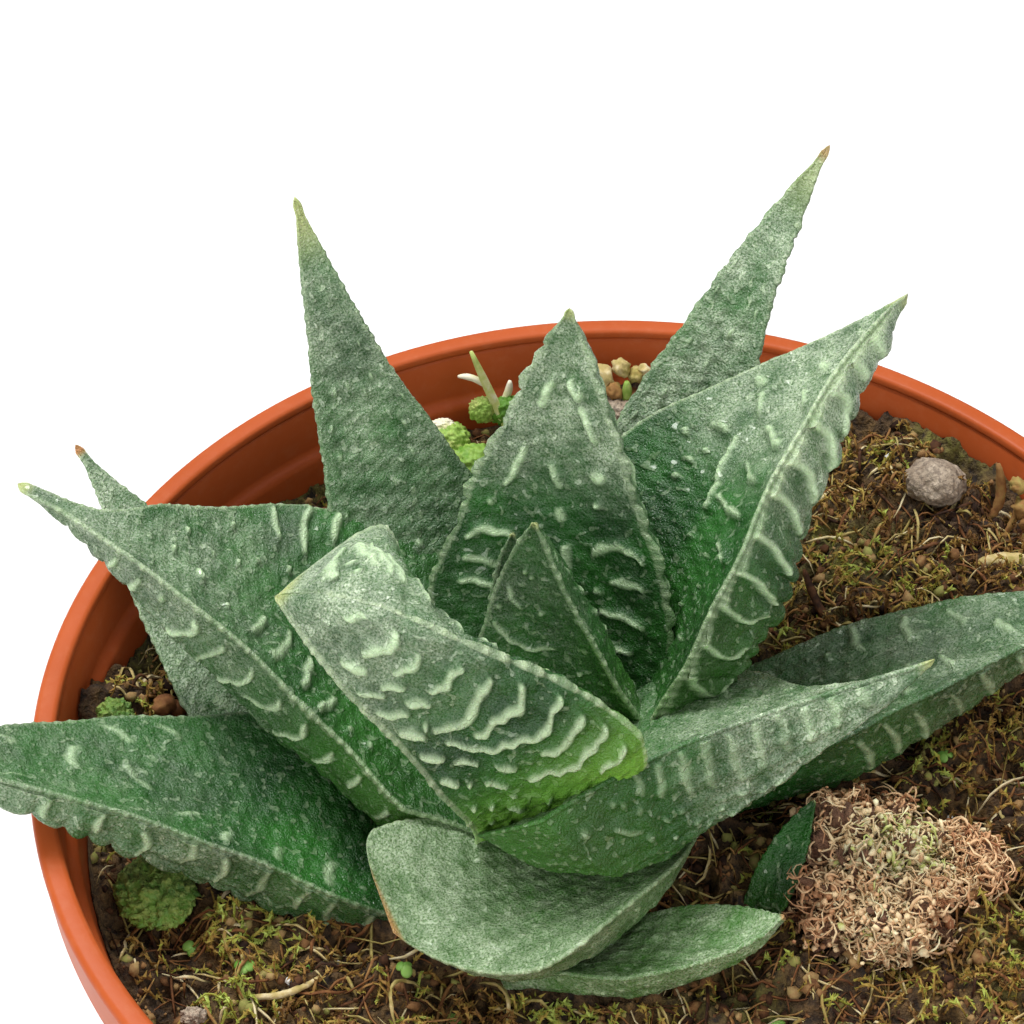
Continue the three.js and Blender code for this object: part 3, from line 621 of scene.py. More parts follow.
    # The skin is softly puckered between the welts
    acrossSkin = part * sideLength
    coarse = np.sin(2.1 * acrossSkin + 1.1 * lengthwise + seed) * np.sin(1.7 * lengthwise - 0.9 * acrossSkin)
    finer = np.sin(3.7 * acrossSkin - 2.3 * lengthwise)
    pucker = coarse + 0.6 * finer * np.sin(3.1 * lengthwise + 1.9 * acrossSkin + seed)
    inside = np.where(isEdge, 0, smooth(edgeAway, 0.2, 1.2) * smooth(keelAway, 0.2, 1.2))
    inside = inside * smooth(t, 0.04, 0.15) * (1 - smooth(t, 0.85, 0.97))
    fineGrain = fineGrain + sizes["pucker"] * pucker * inside

    turnX = np.roll(x, -1, 1) - np.roll(x, 1, 1)
    turnZ = np.roll(z, -1, 1) - np.roll(z, 1, 1)
    size = np.maximum(np.hypot(turnX, turnZ), 1e-6)
    outX, outZ = -turnZ / size, turnX / size
    x = x + outX * (raised + fineGrain)
    z = z + outZ * (raised + fineGrain)
    marginPush = line * teeth * toothSizes["tall"] + lobeReach * lobes * leaf["lobes"][0]
    x = x + np.where(onLeft, -1, 1) * marginPush
    z = z - keelLine * keelTeeth * toothSizes["tall"]
    keelPush = np.exp(-((keelAway / toothSizes["keelReach"]) ** 2)) * keelLobes * leaf["lobes"][1]
    x = x + outX * keelPush
    z = z + outZ * keelPush

    # The section runs together at the very tip and at the hidden root
    atTip = np.clip((1 - t) / toothSizes["tip"], 0, 1) ** 0.7
    close = atTip * np.clip(t / leaf.get("nose", 0.004), 0, 1) ** 0.5
    x, z = x * close, z * close
    points = at[:, None, :] + side[:, None, :] * x[..., None] + up[:, None, :] * z[..., None] + crown
    rootBloom, tipBloom, rootFlank, tipFlank = leaf["bloom"]
    upTo = smooth(t, *leaf.get("rise", (0.2, 0.95)))
    onFace, onFlank = rootBloom + (tipBloom - rootBloom) * upTo, rootFlank + (tipFlank - rootFlank) * upTo
    warm = leaf["warm"] * (1 - smooth(t, 0.2, 0.55)) * np.where(isFace, 0.3, 1.0)
    dry = leaf.get("dry", 0)
    rim = np.maximum(line * (0.5 + 0.5 * teeth), keelLine * (0.45 + 0.55 * keelTeeth)) * leaf["rim"]
    paint = {
        "mark": np.clip(marks * leaf.get("pale", markSizes["pale"]), 0, 1),
        "rim": np.clip(rim, 0, 1) * smooth(t, 0.0, 0.12),
        "tip": smooth(t, leaf.get("tipFrom", 0.965), 0.995) * (1 - 0.8 * dry) + 0 * x,
        "dry": smooth(t, 0.975, 0.99) * dry + 0 * x,
        "bloom": np.where(isFace, onFace, onFlank),
        "warm": warm + leaf.get("fresh", 0) + 0 * x,
    }
    return points, paint


def leafPiece(name, leaf, seed, material):
    spine = bezier(leaf["spine"], np.linspace(0, 1, 50))
    span = np.linalg.norm(np.diff(spine, axis=0), axis=1).sum()
    stations = int(span / leaf.get("station", leafSkinSizes["station"]))
    points, paint = leafSurface(leaf, np.linspace(0, 1, stations + 1), seed)
    around = points.shape[1]
    bm = bmesh.new()
    bmesh.ops.create_grid(bm, x_segments=around, y_segments=stations, size=0.5)
    # The grid's columns run round the leaf and its rows run from root to tip
    where = np.array([vert.co[:2] for vert in bm.verts]) + 0.5
    i = np.rint(where[:, 1] * stations).astype(int)
    j = np.rint(where[:, 0] * around).astype(int) % around
    moveVerts(bm, points[i, j])
    paintVerts(bm, {layer: values[i, j] for layer, values in paint.items()})
    bmesh.ops.remove_doubles(bm, verts=bm.verts, dist=0.002 * mm)
    bmesh.ops.recalc_face_normals(bm, faces=bm.faces)
    piece = finish(name + "_skin", bm, material)
    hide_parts(name)


leafColours = {
    "shade": (0.004, 0.05, 0.005), "green": (0.02, 0.13, 0.013), "waxThin": (0.15, 0.24, 0.115),
    "waxThick": (0.56, 0.66, 0.47), "warm": (0.23, 0.52, 0.06), "tip": (0.46, 0.52, 0.2),
    "welt": (0.58, 0.76, 0.46), "rim": (0.56, 0.68, 0.42), "dry": (0.52, 0.24, 0.08),
}


def leafMaterial():
    material, tree, shader = newMaterial("waxyLeafSkin")
    colours = leafColours
    layers = ("mark", "rim", "tip", "dry", "bloom", "warm")
    mark, rim, tip, dry, bloom, warm = (attribute(tree, layer) for layer in layers)
    clouds = mottle(tree, (300, 5, 0.62), 0.34, 0.66, 0.2, 1.5)
    specks = mottle(tree, (5200, 2, 0.6), 0.36, 0.66)
    worms = mottle(tree, (3300, 1, 0.5, 0.8), 0.35, 0.65)
    # The pimple dots are partly the skin's own pale dots and partly painted glints: they lighten the colour
    # and raise the relief
    pimplesAndGlints = mottle(tree, (1500, 0, 0.5), 0.64, 0.71)
    green = blendColours(tree, mottle(tree, (130, 4, 0.6), 0.35, 0.65), colours["shade"], colours["green"])
    wax = blendColours(tree, specks, colours["waxThin"], colours["waxThick"])
    # The pimples bring their painted glints into the wax colour here, along with the specks
    grain = plus(tree, times(tree, specks, 0.06), times(tree, pimplesAndGlints, 0.3))
    colour = blendColours(tree, plus(tree, times(tree, bloom, clouds), grain), green, wax)
    colour = blendColours(tree, warm, colour, colours["warm"])
    colour = blendColours(tree, tip, colour, colours["tip"])
    colour = blendColours(tree, remap(tree, mark, 0.05, 0.9, 0, 0.9), colour, colours["welt"])
    colour = blendColours(tree, remap(tree, rim, 0.25, 1.0, 0, 0.88), colour, colours["rim"])
    colour = blendColours(tree, dry, colour, colours["dry"])
    relief = plus(tree, plus(tree, times(tree, worms, 0.4), times(tree, specks, 0.3)), pimplesAndGlints)
    dress(tree, shader, colour, remap(tree, specks, 0, 1, 0.22, 0.4), relief, 0.00018, 0.8)
    shader.inputs["Specular IOR Level"].default_value = 0.5
    shader.inputs["Subsurface Weight"].default_value = 0.1
    shader.inputs["Subsurface Radius"].default_value = (0.5, 1.0, 0.25)
    shader.inputs["Subsurface Scale"].default_value = 0.001
    return material


leafSkin = leafMaterial()
for index, (leafName, leaf) in enumerate(leafTable.items()):
    leafPiece(leafName, leaf, 3.1 + 1.7 * index, leafSkin)
    print("skin of", leafName)


# ---- pot

# Radii and heights in millimetres, as the solid has them
potSizes = {
    "foot": 37, "flare": 13.3, "collarFoot": 85, "wall": 1.2, "floor": 1.8, "steps": 240,
    "slots": 8, "slotRadius": 3.5, "slotLength": 16, "slotCentre": 35, "slotCut": 12,
}
potColours = {"dark": (0.43, 0.083, 0.019), "light": (0.47, 0.094, 0.024), "dust": (0.6, 0.27, 0.15)}


def bodyRadius(z):
    return potSizes["foot"] + potSizes["flare"] * z / potSizes["collarFoot"]


def innerRadius(z):
    return bodyRadius(z) - potSizes["wall"]


def potMaterial():
    material, tree, shader = newMaterial("terracottaPlastic")
    cloud = mottle(tree, (60, 3, 0.5), 0.35, 0.65)
    dust = mottle(tree, (700, 4, 0.65), 0.5, 0.75)
    colour = blendColours(tree, cloud, potColours["dark"], potColours["light"])
    colour = blendColours(tree, times(tree, dust, 0.1), colour, potColours["dust"])
    dress(tree, shader, colour, remap(tree, cloud, 0, 1, 0.4, 0.5), noiseOf(tree, 1500, 2, 0.5), 0.00004, 0.5)
    shader.inputs["Specular IOR Level"].default_value = 0.15
    return material


def potPiece():
    sizes = potSizes
    floor = sizes["floor"]
    # Radius and height, up the outside, over the rim and its ledge and down the inside
    profile = [
        (0, 0), (35.6, 0), (36.4, 0.25), (bodyRadius(1.2), 1.2), (bodyRadius(40), 40),
        (bodyRadius(84.2), 84.2), (bodyRadius(84.7) + 0.3, 84.7),
        (51.6, 84.9), (52.0, 85.2), (52.15, 86), (52.42, 90.9),
        (52.5, 91.3), (52.42, 91.7), (52.2, 91.93), (51.9, 92), (50.9, 92), (50.6, 91.93), (50.45, 91.7),
        (50.4, 91.3), (50.62, 91.1), (50.62, 90.9), (50.36, 90.7), (50.12, 86.2), (50.0, 85.8), (49.7, 85.62),
        (innerRadius(85) + 0.5, 85.55), (innerRadius(85) + 0.15, 85.4), (innerRadius(84.8), 84.9),
        (innerRadius(84), 84), (innerRadius(40), 40), (innerRadius(3.2), 3.2), (innerRadius(2.2) - 0.8, 2),
        (innerRadius(floor) - 2, floor), (0, floor),
    ]
    bm = bmesh.new()
    verts = [bm.verts.new((r * mm, 0, z * mm)) for r, z in profile]
    edges = [bm.edges.new(pair) for pair in zip(verts, verts[1:])]
    bmesh.ops.spin(bm, geom=verts + edges, cent=(0, 0, 0), axis=(0, 0, 1), dvec=(0, 0, 0),
                   angle=2 * math.pi, steps=sizes["steps"], use_merge=True)
    bmesh.ops.remove_doubles(bm, verts=bm.verts, dist=0.0005 * mm)
    bmesh.ops.recalc_face_normals(bm, faces=bm.faces)
    pot = finish("pot_shell", bm, potMaterial())

    # The drain openings are cut by eight short bars with round ends
    cutter = bmesh.new()
    for i in range(sizes["slots"]):
        radius = sizes["slotRadius"] * mm
        bar = bmesh.ops.create_cone(cutter, cap_ends=True, segments=32, radius1=radius, radius2=radius,
                                    depth=sizes["slotCut"] * mm)["verts"]
        stretch = (sizes["slotLength"] / 2 - sizes["slotRadius"]) * mm
        for vert in bar:
            vert.co.x += math.copysign(stretch, vert.co.x + 1e-7) + sizes["slotCentre"] * mm
        turn = Matrix.Rotation((i + 0.5) * 2 * math.pi / sizes["slots"], 4, "Z")
        bmesh.ops.transform(cutter, matrix=turn, verts=bar)
    cutterMesh = bpy.data.meshes.new("slotBars")
    cutter.to_mesh(cutterMesh)
    cutter.free()
    bars = addObject("slotBars", cutterMesh)
    cut = pot.modifiers.new("slots", "BOOLEAN")
    cut.operation, cut.solver, cut.object = "DIFFERENCE", "EXACT", bars
    bpy.context.view_layer.update()
    done = bpy.data.meshes.new_from_object(pot.evaluated_get(bpy.context.evaluated_depsgraph_get()))
    pot.modifiers.clear()
    done.set_sharp_from_angle(angle=math.radians(50))
    pot.data = done
    bpy.data.objects.remove(bars)
    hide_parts("pot")


potPiece()
print("pot")


# ---- potting mix

# level is the height of the mix at the front, rise how much higher it is banked at the back right, mound how
# much it rises to the plant, humps the size of its low humps and relief how tall the crumbs stand. overLedge
# is how far it lies over the pot's ledge, where it is higher than the heights of ledge. sides are the heights
# of its side down to the floor, and clear how far it stays from the wall.
mixSizes = {
    "level": 83, "rise": 6, "mound": 1.5, "moundReach": 260, "humps": 5.2, "humpTall": 0.9, "relief": 1.2,
    "cells": 300, "edge": 48.65, "overLedge": 1.25, "ledge": (85.6, 86.6), "sides": (82.5, 60, 30, 2.1),
    "clear": 0.3,
}
heapSizes = {"x": -48, "y": 4, "tall": 5, "reach": 4.5}


def humps(x, y):
    a, b = x / mixSizes["humps"], y / mixSizes["humps"]
    slow = np.sin(2.1 * a + 1.3 * b) + np.sin(1.7 * b + 1) + np.sin(1.1 * a + 2)
    fast = np.sin(5.3 * a - 4.1 * b + 3) + np.sin(4.7 * b + 5.9 * a) * math.sin(1)
    return slow / 3 + fast / 5


def mixHeight(x, y):
    bank = mixSizes["rise"] * smooth(0.66 * x + 0.75 * y, 12, 50)
    fromCrown = (x - crown[0]) ** 2 + (y - crown[1]) ** 2
    mound = mixSizes["mound"] * np.exp(-fromCrown / mixSizes["moundReach"])
    away = (x - heapSizes["x"]) ** 2 + (y - heapSizes["y"]) ** 2
    heaped = heapSizes["tall"] * np.exp(-away / (2 * heapSizes["reach"] ** 2))
    return mixSizes["level"] + bank + heaped + mound + mixSizes["humpTall"] * humps(x, y)


def heightOfMix(x, y):
    return float(mixHeight(x, y))


def crumbRelief(x, y):
    out = np.empty(x.size)
    for i, (u, v) in enumerate(zip(x.tolist(), y.tolist())):
        clods = noise.turbulence((u * 0.22, v * 0.22, 1.7), 3, False)
        crumbs = noise.noise((u * 0.9, v * 0.9, 7.1))
        grit = noise.noise((u * 2.1, v * 2.1, 3.3))
        out[i] = 1.9 * (clods - 0.55) + 0.9 * crumbs + 0.4 * grit
    return out


mixColours = {
    "dark": (0.012, 0.006, 0.003), "brown": (0.13, 0.07, 0.026), "ochre": (0.22, 0.13, 0.04),
    "green": (0.13, 0.14, 0.02),
}


def mixMaterial():
    material, tree, shader = newMaterial("fibrousPeat")
    crumb = mottle(tree, (900, 4, 0.65), 0.35, 0.7)
    patch = times(tree, mottle(tree, (90, 4, 0.6, 0.4), 0.42, 0.62), crumb)
    green = times(tree, mottle(tree, (55, 3, 0.6), 0.5, 0.62), crumb)
    colour = blendColours(tree, crumb, mixColours["dark"], mixColours["brown"])
    colour = blendColours(tree, patch, colour, mixColours["ochre"])
    colour = blendColours(tree, green, colour, mixColours["green"])
    dress(tree, shader, colour, 0.85, crumb, 0.0004)
    return material


def mixPiece():
    sizes = mixSizes
    cells = sizes["cells"]
    bm = bmesh.new()
    bmesh.ops.create_grid(bm, x_segments=cells, y_segments=cells, size=1)
    # The square grid is drawn in to a disc, then given its height and its crumbs
    flat = np.array([vert.co[:2] for vert in bm.verts])
    u, v = flat[:, 0], flat[:, 1]
    across = np.stack([u * np.sqrt(1 - v**2 / 2), v * np.sqrt(1 - u**2 / 2)], 1)
    x, y = across[:, 0] * sizes["edge"], across[:, 1] * sizes["edge"]
    ground = mixHeight(x, y)
    reach = sizes["edge"] + sizes["overLedge"] * smooth(ground, *sizes["ledge"])
    x, y = across[:, 0] * reach, across[:, 1] * reach
    z = mixHeight(x, y) + crumbRelief(x, y) * sizes["relief"]
    moveVerts(bm, np.stack([x, y, z], 1))
    rim = [edge for edge in bm.edges if edge.is_boundary]
    for low in sizes["sides"]:
        made = bmesh.ops.extrude_edge_only(bm, edges=rim)["geom"]
        for vert in (g for g in made if isinstance(g, bmesh.types.BMVert)):
            flatCo = vert.co.xy.normalized() * (innerRadius(low) - sizes["clear"]) * mm
            vert.co = (flatCo.x, flatCo.y, low * mm)
        rim = [g for g in made if isinstance(g, bmesh.types.BMEdge)]
    bmesh.ops.holes_fill(bm, edges=rim)
    bmesh.ops.triangulate(bm, faces=[face for face in bm.faces if len(face.verts) > 4])
    bmesh.ops.recalc_face_normals(bm, faces=bm.faces)
    mix = finish("mix_surface", bm, mixMaterial())
    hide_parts("potting_mix")
    return mix


mixSurface = mixPiece()
print("potting mix")


# ---- stones, dry moss, weeds and stem

# at is the place on the mix with its height above it, size the half sizes, turn the turn about the upright
lumpTable = {
    "pebble_grey": {
        "at": (27.7, 33.6, 0.8), "size": (3.2, 2.6, 2.2), "turn": -0.2, "rough": 0.07, "grain": 1.3,
    },
    "pebble_tan": {
        "at": (-3, 44, 0.7), "size": (2.4, 1.9, 1.6), "turn": 0.4, "rough": 0.14, "grain": 1.3,
    },
    "pebble_small": {
        "at": (2.6, 43.2, 0.5), "size": (1.7, 1.5, 1.3), "turn": 1, "rough": 0.14, "grain": 1.3,
    },
    "pebble_white": {
        "at": (-35.5, -27.5, 0.3), "size": (1.2, 0.9, 0.8), "turn": 0, "rough": 0.16, "grain": 1.6,
    },
    "moss_clump": {
        "at": (20.8, -10.9, 1.4), "size": (7.4, 9, 5), "turn": 0.2, "rough": 0.42, "grain": 2.2,
    },
    "moss_tail": {
        "at": (29.8, -7.6, 0.8), "size": (3.7, 2.4, 2), "turn": -0.9, "rough": 0.3, "grain": 1.5,
    },
    "weed_leaf": {
        "at": (-40.5, -15.5, 0.9), "size": (3.6, 4.2, 1.5), "turn": 0.6, "rough": 0.24, "grain": 2.8,
    },
    "weed_leaf_small": {
        "at": (-46.3, 1.2, 0.8), "size": (1.8, 1.7, 1.2), "turn": 0, "rough": 0.18, "grain": 2.2,
    },
}


# Each finish: two colours, a third laid over them and how much of it, the noises of both, and the relief
lumpFinishes = {
    "pebble": {
        "name": "dustyGrit", "low": (0.26, 0.19, 0.13), "high": (0.55, 0.45, 0.34),
        "over": (0.08, 0.06, 0.05), "share": 0.5,
        "base": ((500, 5, 0.65), 0.35, 0.68), "spots": ((3000, 2, 0.5), 0.45, 0.6),
        "bumps": "base", "roughness": 0.9, "distance": 0.0003, "strength": 1.0,
    },
    "moss": {
        "name": "dryMossCrumb", "low": (0.1, 0.04, 0.02), "high": (0.4, 0.23, 0.13),
        "over": (0.26, 0.12, 0.07), "share": 0.55,
        "base": ((1400, 4, 0.6), 0.35, 0.65), "spots": ((260, 4, 0.6), 0.38, 0.62),
        "bumps": "base", "roughness": 0.9, "distance": 0.0005, "strength": 1.0,
    },
    # On the weed leaf the yellow-green over colour sits on the raised spots of its relief: partly its own
    # paler green, partly a painted highlight on the wrinkles
    "weed": {
        "name": "softWeedLeaf", "low": (0.06, 0.16, 0.02), "high": (0.16, 0.32, 0.04),
        "over": (0.36, 0.44, 0.11), "share": 0.6,
        "base": ((300, 4, 0.6), 0.38, 0.62), "spots": ((1500, 3, 0.6), 0.4, 0.62),
        "bumps": "spots", "roughness": 0.55, "distance": 0.0002, "strength": 0.8,
    },
}


def lumpMaterial(finishes):
    material, tree, shader = newMaterial(finishes["name"])
    noises = {key: mottle(tree, *finishes[key]) for key in ("base", "spots")}
    colour = blendColours(tree, noises["base"], finishes["low"], finishes["high"])
    colour = blendColours(tree, times(tree, noises["spots"], finishes["share"]), colour, finishes["over"])
    relief = noises[finishes["bumps"]]
    dress(tree, shader, colour, finishes["roughness"], relief, finishes["distance"], finishes["strength"])
    return material


lumpMaterials = {kind: lumpMaterial(finishes) for kind, finishes in lumpFinishes.items()}


def lumpPiece(name, lump):
    kind = name.split("_")[0]
    x, y, above = lump["at"]
    centre = np.array([x, y, heightOfMix(x, y) + above])
    bm = bmesh.new()
    bmesh.ops.create_icosphere(bm, subdivisions=6 if kind == "moss" else 5, radius=1)
    ball = np.array([vert.co[:] for vert in bm.verts])
    shape = ball * lump["size"]
    cos, sin = math.cos(lump["turn"]), math.sin(lump["turn"])
    sx, sy, sz = shape.T
    turned = np.stack([sx * cos - sy * sin, sx * sin + sy * cos, sz], 1)
    small = min(lump["size"])
    swell = []
    for point in (turned * lump["grain"] / small).tolist():
        swell.append(noise.turbulence(point, 4, False) - 0.5 + 0.25 * noise.noise([c * 4 for c in point]))
    out = ball * lump["rough"] * small * np.array(swell)[:, None] * 2
    moveVerts(bm, centre + turned + out)
    piece = finish(name + "_lump", bm, lumpMaterials[kind])
    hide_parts(name)
    return piece


lumpPieces = {lumpName: lumpPiece(lumpName, lump) for lumpName, lump in lumpTable.items()}
print("loose lumps")


# ---- loose matter on the mix: fibres, crumbs, moss, perlite and seedlings

# Each kind is one small template, copied with its own size, turn and tint. Counts, then sizes in millimetres.
scatterTable = {
    "peat_crumbs": {"count": 8200, "size": (0.18, 0.85), "seed": 11},
    "peat_fibres": {
        "count": 3900, "length": (1.6, 7), "radius": (0.08, 0.2), "lift": 1.3, "curl": 0.16, "seed": 12,
    },
    "moss_stems": {
        "count": 1900, "length": (1.2, 3.6), "radius": (0.08, 0.16), "lift": 2.2, "curl": 0.22, "seed": 13,
    },
    "moss_leaflets": {"onStem": 14, "length": (0.3, 0.7), "wide": 0.34, "seed": 14},
    "clump_fibres": {"count": 4200, "length": (0.9, 3.0), "radius": (0.07, 0.19), "lift": 1.3, "seed": 15},
    "clump_crumbs": {"count": 4600, "size": (0.16, 0.5), "seed": 16},
    "perlite": {"count": 26, "size": (0.3, 0.75), "seed": 17},
    "seedling_leaves": {"size": (0.35, 0.7), "seed": 18},
}
# Where moss grows thick: place on the mix and how far it spreads
mossPatches = [(30, -18, 8), (19, 34, 7), (-4, -27, 7), (-30, -24, 7), (30, 9, 6), (-42, 4, 4), (27, 26, 7)]
scatterReach = 48.2
strandRings = 6
# How far loose matter stays clear of the leaves, in millimetres
leafClear = {
    "place": 0.8, "strand": 0.45, "clumpEnd": 0.4, "clumpPlace": 0.6, "crumb": 1.1, "clumpCrumb": 1.0,
}


def scatterKind(name):
    return scatterTable[name], np.random.default_rng(scatterTable[name]["seed"])


def treeOf(things):
    points, faces = [], []
    for thing in things:
        start = len(points)
        points += [vert.co.copy() for vert in thing.data.vertices]
        faces += [[start + i for i in polygon.vertices] for polygon in thing.data.polygons]
    return BVHTree.FromPolygons(points, faces)


def between(limits, share):
    return limits[0] + (limits[1] - limits[0]) * share


def bentPath(first, middle, last, rings):
    # A curve from the first place to the last, through the middle one
    k = np.linspace(0, 1, rings)[:, None]
    bend = 2 * middle - (first + last) / 2
    return (1 - k) ** 2 * first + 2 * k * (1 - k) * bend + k**2 * last


groundTree = treeOf([mixSurface])
leafTree = treeOf([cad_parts[name] for name in leafTable])
down = Vector((0, 0, -1))


def groundAt(x, y):
    hit = groundTree.ray_cast(Vector((x * mm, y * mm, 0.2)), down)[0]
    return None if hit is None else hit.z / mm


def nearLeaf(point, clear):
    return leafTree.find_nearest(Vector(point) * mm, clear * mm)[0] is not None


def patchTint(points, draw, spread=0.16):
    # Neighbours share a tint, so the mix shows brown, ochre and green patches
    slow = np.array([noise.noise((x * 0.11, y * 0.11, 4.2)) for x, y in points])
    slow = slow + 0.6 * np.array([noise.noise((x * 0.35, y * 0.35, 8.4)) for x, y in points])
    return np.clip(0.48 + 0.75 * slow + draw.normal(0, spread, len(slow)), 0, 1)


def mossAmount(x, y):
    near = sum(math.exp(-((x - a) ** 2 + (y - b) ** 2) / (2 * r * r)) for a, b, r in mossPatches)
    return min(1.0, 0.1 + near)


def placesOnMix(count, draw, clear, density=None):
    found = []
    while len(found) < count:
        r, turn = scatterReach * math.sqrt(draw.random()), draw.random() * 2 * math.pi
        x, y = r * math.cos(turn), r * math.sin(turn)
        if density and draw.random() > density(x, y):
            continue
        z = groundAt(x, y)
        if z is not None and not nearLeaf((x, y, z), clear):
            found.append((x, y, z))
    return np.array(found)


def groundPaths(table, draw, density=None):
    k = np.linspace(0, 1, strandRings)
    paths = []
    while len(paths) < table["count"]:
        x, y = placesOnMix(1, draw, leafClear["place"], density)[0, :2]
        length = between(table["length"], draw.random() ** 2)
        turn = draw.random() * 2 * math.pi + draw.normal(0, table["curl"]) * length * (k - 0.5)
        step = length / (strandRings - 1)
        px = x + step * (np.cumsum(np.cos(turn)) - np.cos(turn).sum() / 2)
        py = y + step * (np.cumsum(np.sin(turn)) - np.sin(turn).sum() / 2)
        heights = [groundAt(a, b) for a, b in zip(px, py)]
        if None in heights or np.hypot(px, py).max() > scatterReach:
            continue
        lift = table["lift"] * draw.random() ** 2
        pz = np.array(heights) * 0.5 + np.mean(heights) * 0.5 + 0.12 + lift * np.sin(math.pi * k)
        path = np.stack([px, py, pz], 1)
        if not any(nearLeaf(point, leafClear["strand"]) for point in path.tolist()):
            paths.append(path)
    return np.array(paths)


def templateOf(bm):
    bm.verts.index_update()
    points = np.array([vert.co[:] for vert in bm.verts])
    faces = [[vert.index for vert in face.verts] for face in bm.faces]
    bm.free()
    return points, faces


def strandTemplate(rings, sides):
    bm = bmesh.new()
    bmesh.ops.create_circle(bm, segments=sides, radius=1)
    rim = bm.edges[:]
    for step in range(rings - 1):
        made = bmesh.ops.extrude_edge_only(bm, edges=rim)["geom"]
        bmesh.ops.translate(bm, verts=[g for g in made if isinstance(g, bmesh.types.BMVert)], vec=(0, 0, 1))
        rim = [g for g in made if isinstance(g, bmesh.types.BMEdge)]
    bmesh.ops.holes_fill(bm, edges=[edge for edge in bm.edges if edge.is_boundary])
    bmesh.ops.recalc_face_normals(bm, faces=bm.faces)
    return templateOf(bm)


def crumbTemplate(subdivisions=1):
    bm = bmesh.new()
    bmesh.ops.create_icosphere(bm, subdivisions=subdivisions, radius=1)
    return templateOf(bm)


def leafletTemplate():
    bm = bmesh.new()
    bmesh.ops.create_cone(bm, cap_ends=True, segments=3, radius1=1, radius2=0, depth=1)
    bmesh.ops.translate(bm, verts=bm.verts, vec=(0, 0, 0.5))
    return templateOf(bm)


def tiledPiece(name, points, faces, tints, material, smoothShade=True):
    copies, size = points.shape[:2]
    mesh = bpy.data.meshes.new(name)
    allFaces = [[copy * size + i for i in face] for copy in range(copies) for face in faces]
    mesh.from_pydata((points.reshape(-1, 3) * mm).tolist(), [], allFaces)
    layer = mesh.attributes.new("tint", "FLOAT", "POINT")
    layer.data.foreach_set("value", np.repeat(tints, size).astype(np.float32))
    piece = finishMesh(name, mesh, material, smoothShade)
    return piece


def strandPoints(paths, radii, template, draw):
    tangent = np.gradient(paths, axis=1)
    tangent /= np.linalg.norm(tangent, axis=2, keepdims=True)
    side = np.cross(tangent, draw.normal(size=(len(paths), 1, 3)))
    side /= np.linalg.norm(side, axis=2, keepdims=True)
    above = np.cross(tangent, side)
    rings = paths.shape[1]
    ring = np.rint(template[:, 2]).astype(int)
    thick = radii[:, None] * (1 - 0.6 * np.abs(2 * ring / (rings - 1) - 1) ** 3)
    return (paths[:, ring] + side[:, ring] * (template[:, 0] * thick)[..., None]
            + above[:, ring] * (template[:, 1] * thick)[..., None])


def framesAlong(directions, draw):
    z = directions / np.linalg.norm(directions, axis=1, keepdims=True)
    x = np.cross(z, draw.normal(size=z.shape))
    x /= np.linalg.norm(x, axis=1, keepdims=True)
    return np.stack([x, np.cross(z, x), z], 1)


def turnAnyWay(shape, places, draw):
    frames = framesAlong(draw.normal(size=(len(places), 3)), draw)
    return np.einsum("nvk,nkc->nvc", shape, frames) + places[:, None, :]


def crumbPoints(places, sizes, template, draw, flat=0.6):
    shape = template * (1 + 0.22 * draw.normal(size=(len(places), len(template), 1)))
    shape = shape * (sizes[:, None] * (flat + (1 - flat) * draw.random((len(places), 3))))[:, None, :]
    return turnAnyWay(shape, places, draw)


def colourRamp(tree, factor, stops):
    made = node(tree, "ShaderNodeValToRGB", {"Fac": factor})
    points = made.color_ramp.elements
    while len(points) < len(stops):
        points.new(0.5)
    for point, (position, colour) in zip(points, stops):
        point.position = position
        point.color = (*colour, 1)
    return made.outputs["Color"]


def tintedMaterial(name, stops, grain, roughness):
    material, tree, shader = newMaterial(name)
    speck = mottle(tree, (grain, 3, 0.6), 0.3, 0.7, -0.16, 0.16)
    shade = node(tree, "ShaderNodeMath", {0: attribute(tree, "tint"), 1: speck}, operation="ADD").outputs[0]
    dress(tree, shader, colourRamp(tree, shade, stops), roughness, speck, 0.0001, 0.6)
    shader.inputs["Specular IOR Level"].default_value = 0.25
    return material


peatStops = [(0.0, (0.03, 0.012, 0.006)), (0.3, (0.2, 0.08, 0.028)), (0.5, (0.32, 0.17, 0.055)),
             (0.7, (0.34, 0.28, 0.08)), (0.87, (0.54, 0.42, 0.18)), (1.0, (0.72, 0.62, 0.38))]
crumbStops = [(0.0, (0.02, 0.009, 0.005)), (0.3, (0.1, 0.042, 0.018)), (0.55, (0.24, 0.12, 0.045)),
              (0.8, (0.36, 0.24, 0.1)), (1.0, (0.26, 0.26, 0.07))]
mossStops = [(0.0, (0.12, 0.055, 0.016)), (0.3, (0.32, 0.18, 0.045)), (0.55, (0.4, 0.3, 0.065)),
             (0.75, (0.3, 0.33, 0.045)), (1.0, (0.44, 0.54, 0.12))]
clumpStops = [(0.0, (0.38, 0.17, 0.08)), (0.25, (0.68, 0.4, 0.21)), (0.5, (0.84, 0.62, 0.36)),
              (0.72, (0.86, 0.7, 0.42)), (0.86, (0.9, 0.84, 0.56)), (1.0, (0.6, 0.66, 0.22))]
perliteStops = [(0.0, (0.5, 0.48, 0.42)), (1.0, (0.85, 0.84, 0.8))]
seedlingStops = [(0.0, (0.12, 0.3, 0.04)), (1.0, (0.3, 0.5, 0.12))]

peatStrand = tintedMaterial("peatStrand", peatStops, 900, 0.8)
peatCrumb = tintedMaterial("peatCrumb", crumbStops, 1500, 0.9)
mossGreen = tintedMaterial("mossGreen", mossStops, 900, 0.7)
clumpStrand = tintedMaterial("clumpStrand", clumpStops, 900, 0.85)
perliteGrain = tintedMaterial("perliteGrain", perliteStops, 1500, 0.9)
seedlingLeaf = tintedMaterial("seedlingLeaf", seedlingStops, 700, 0.45)


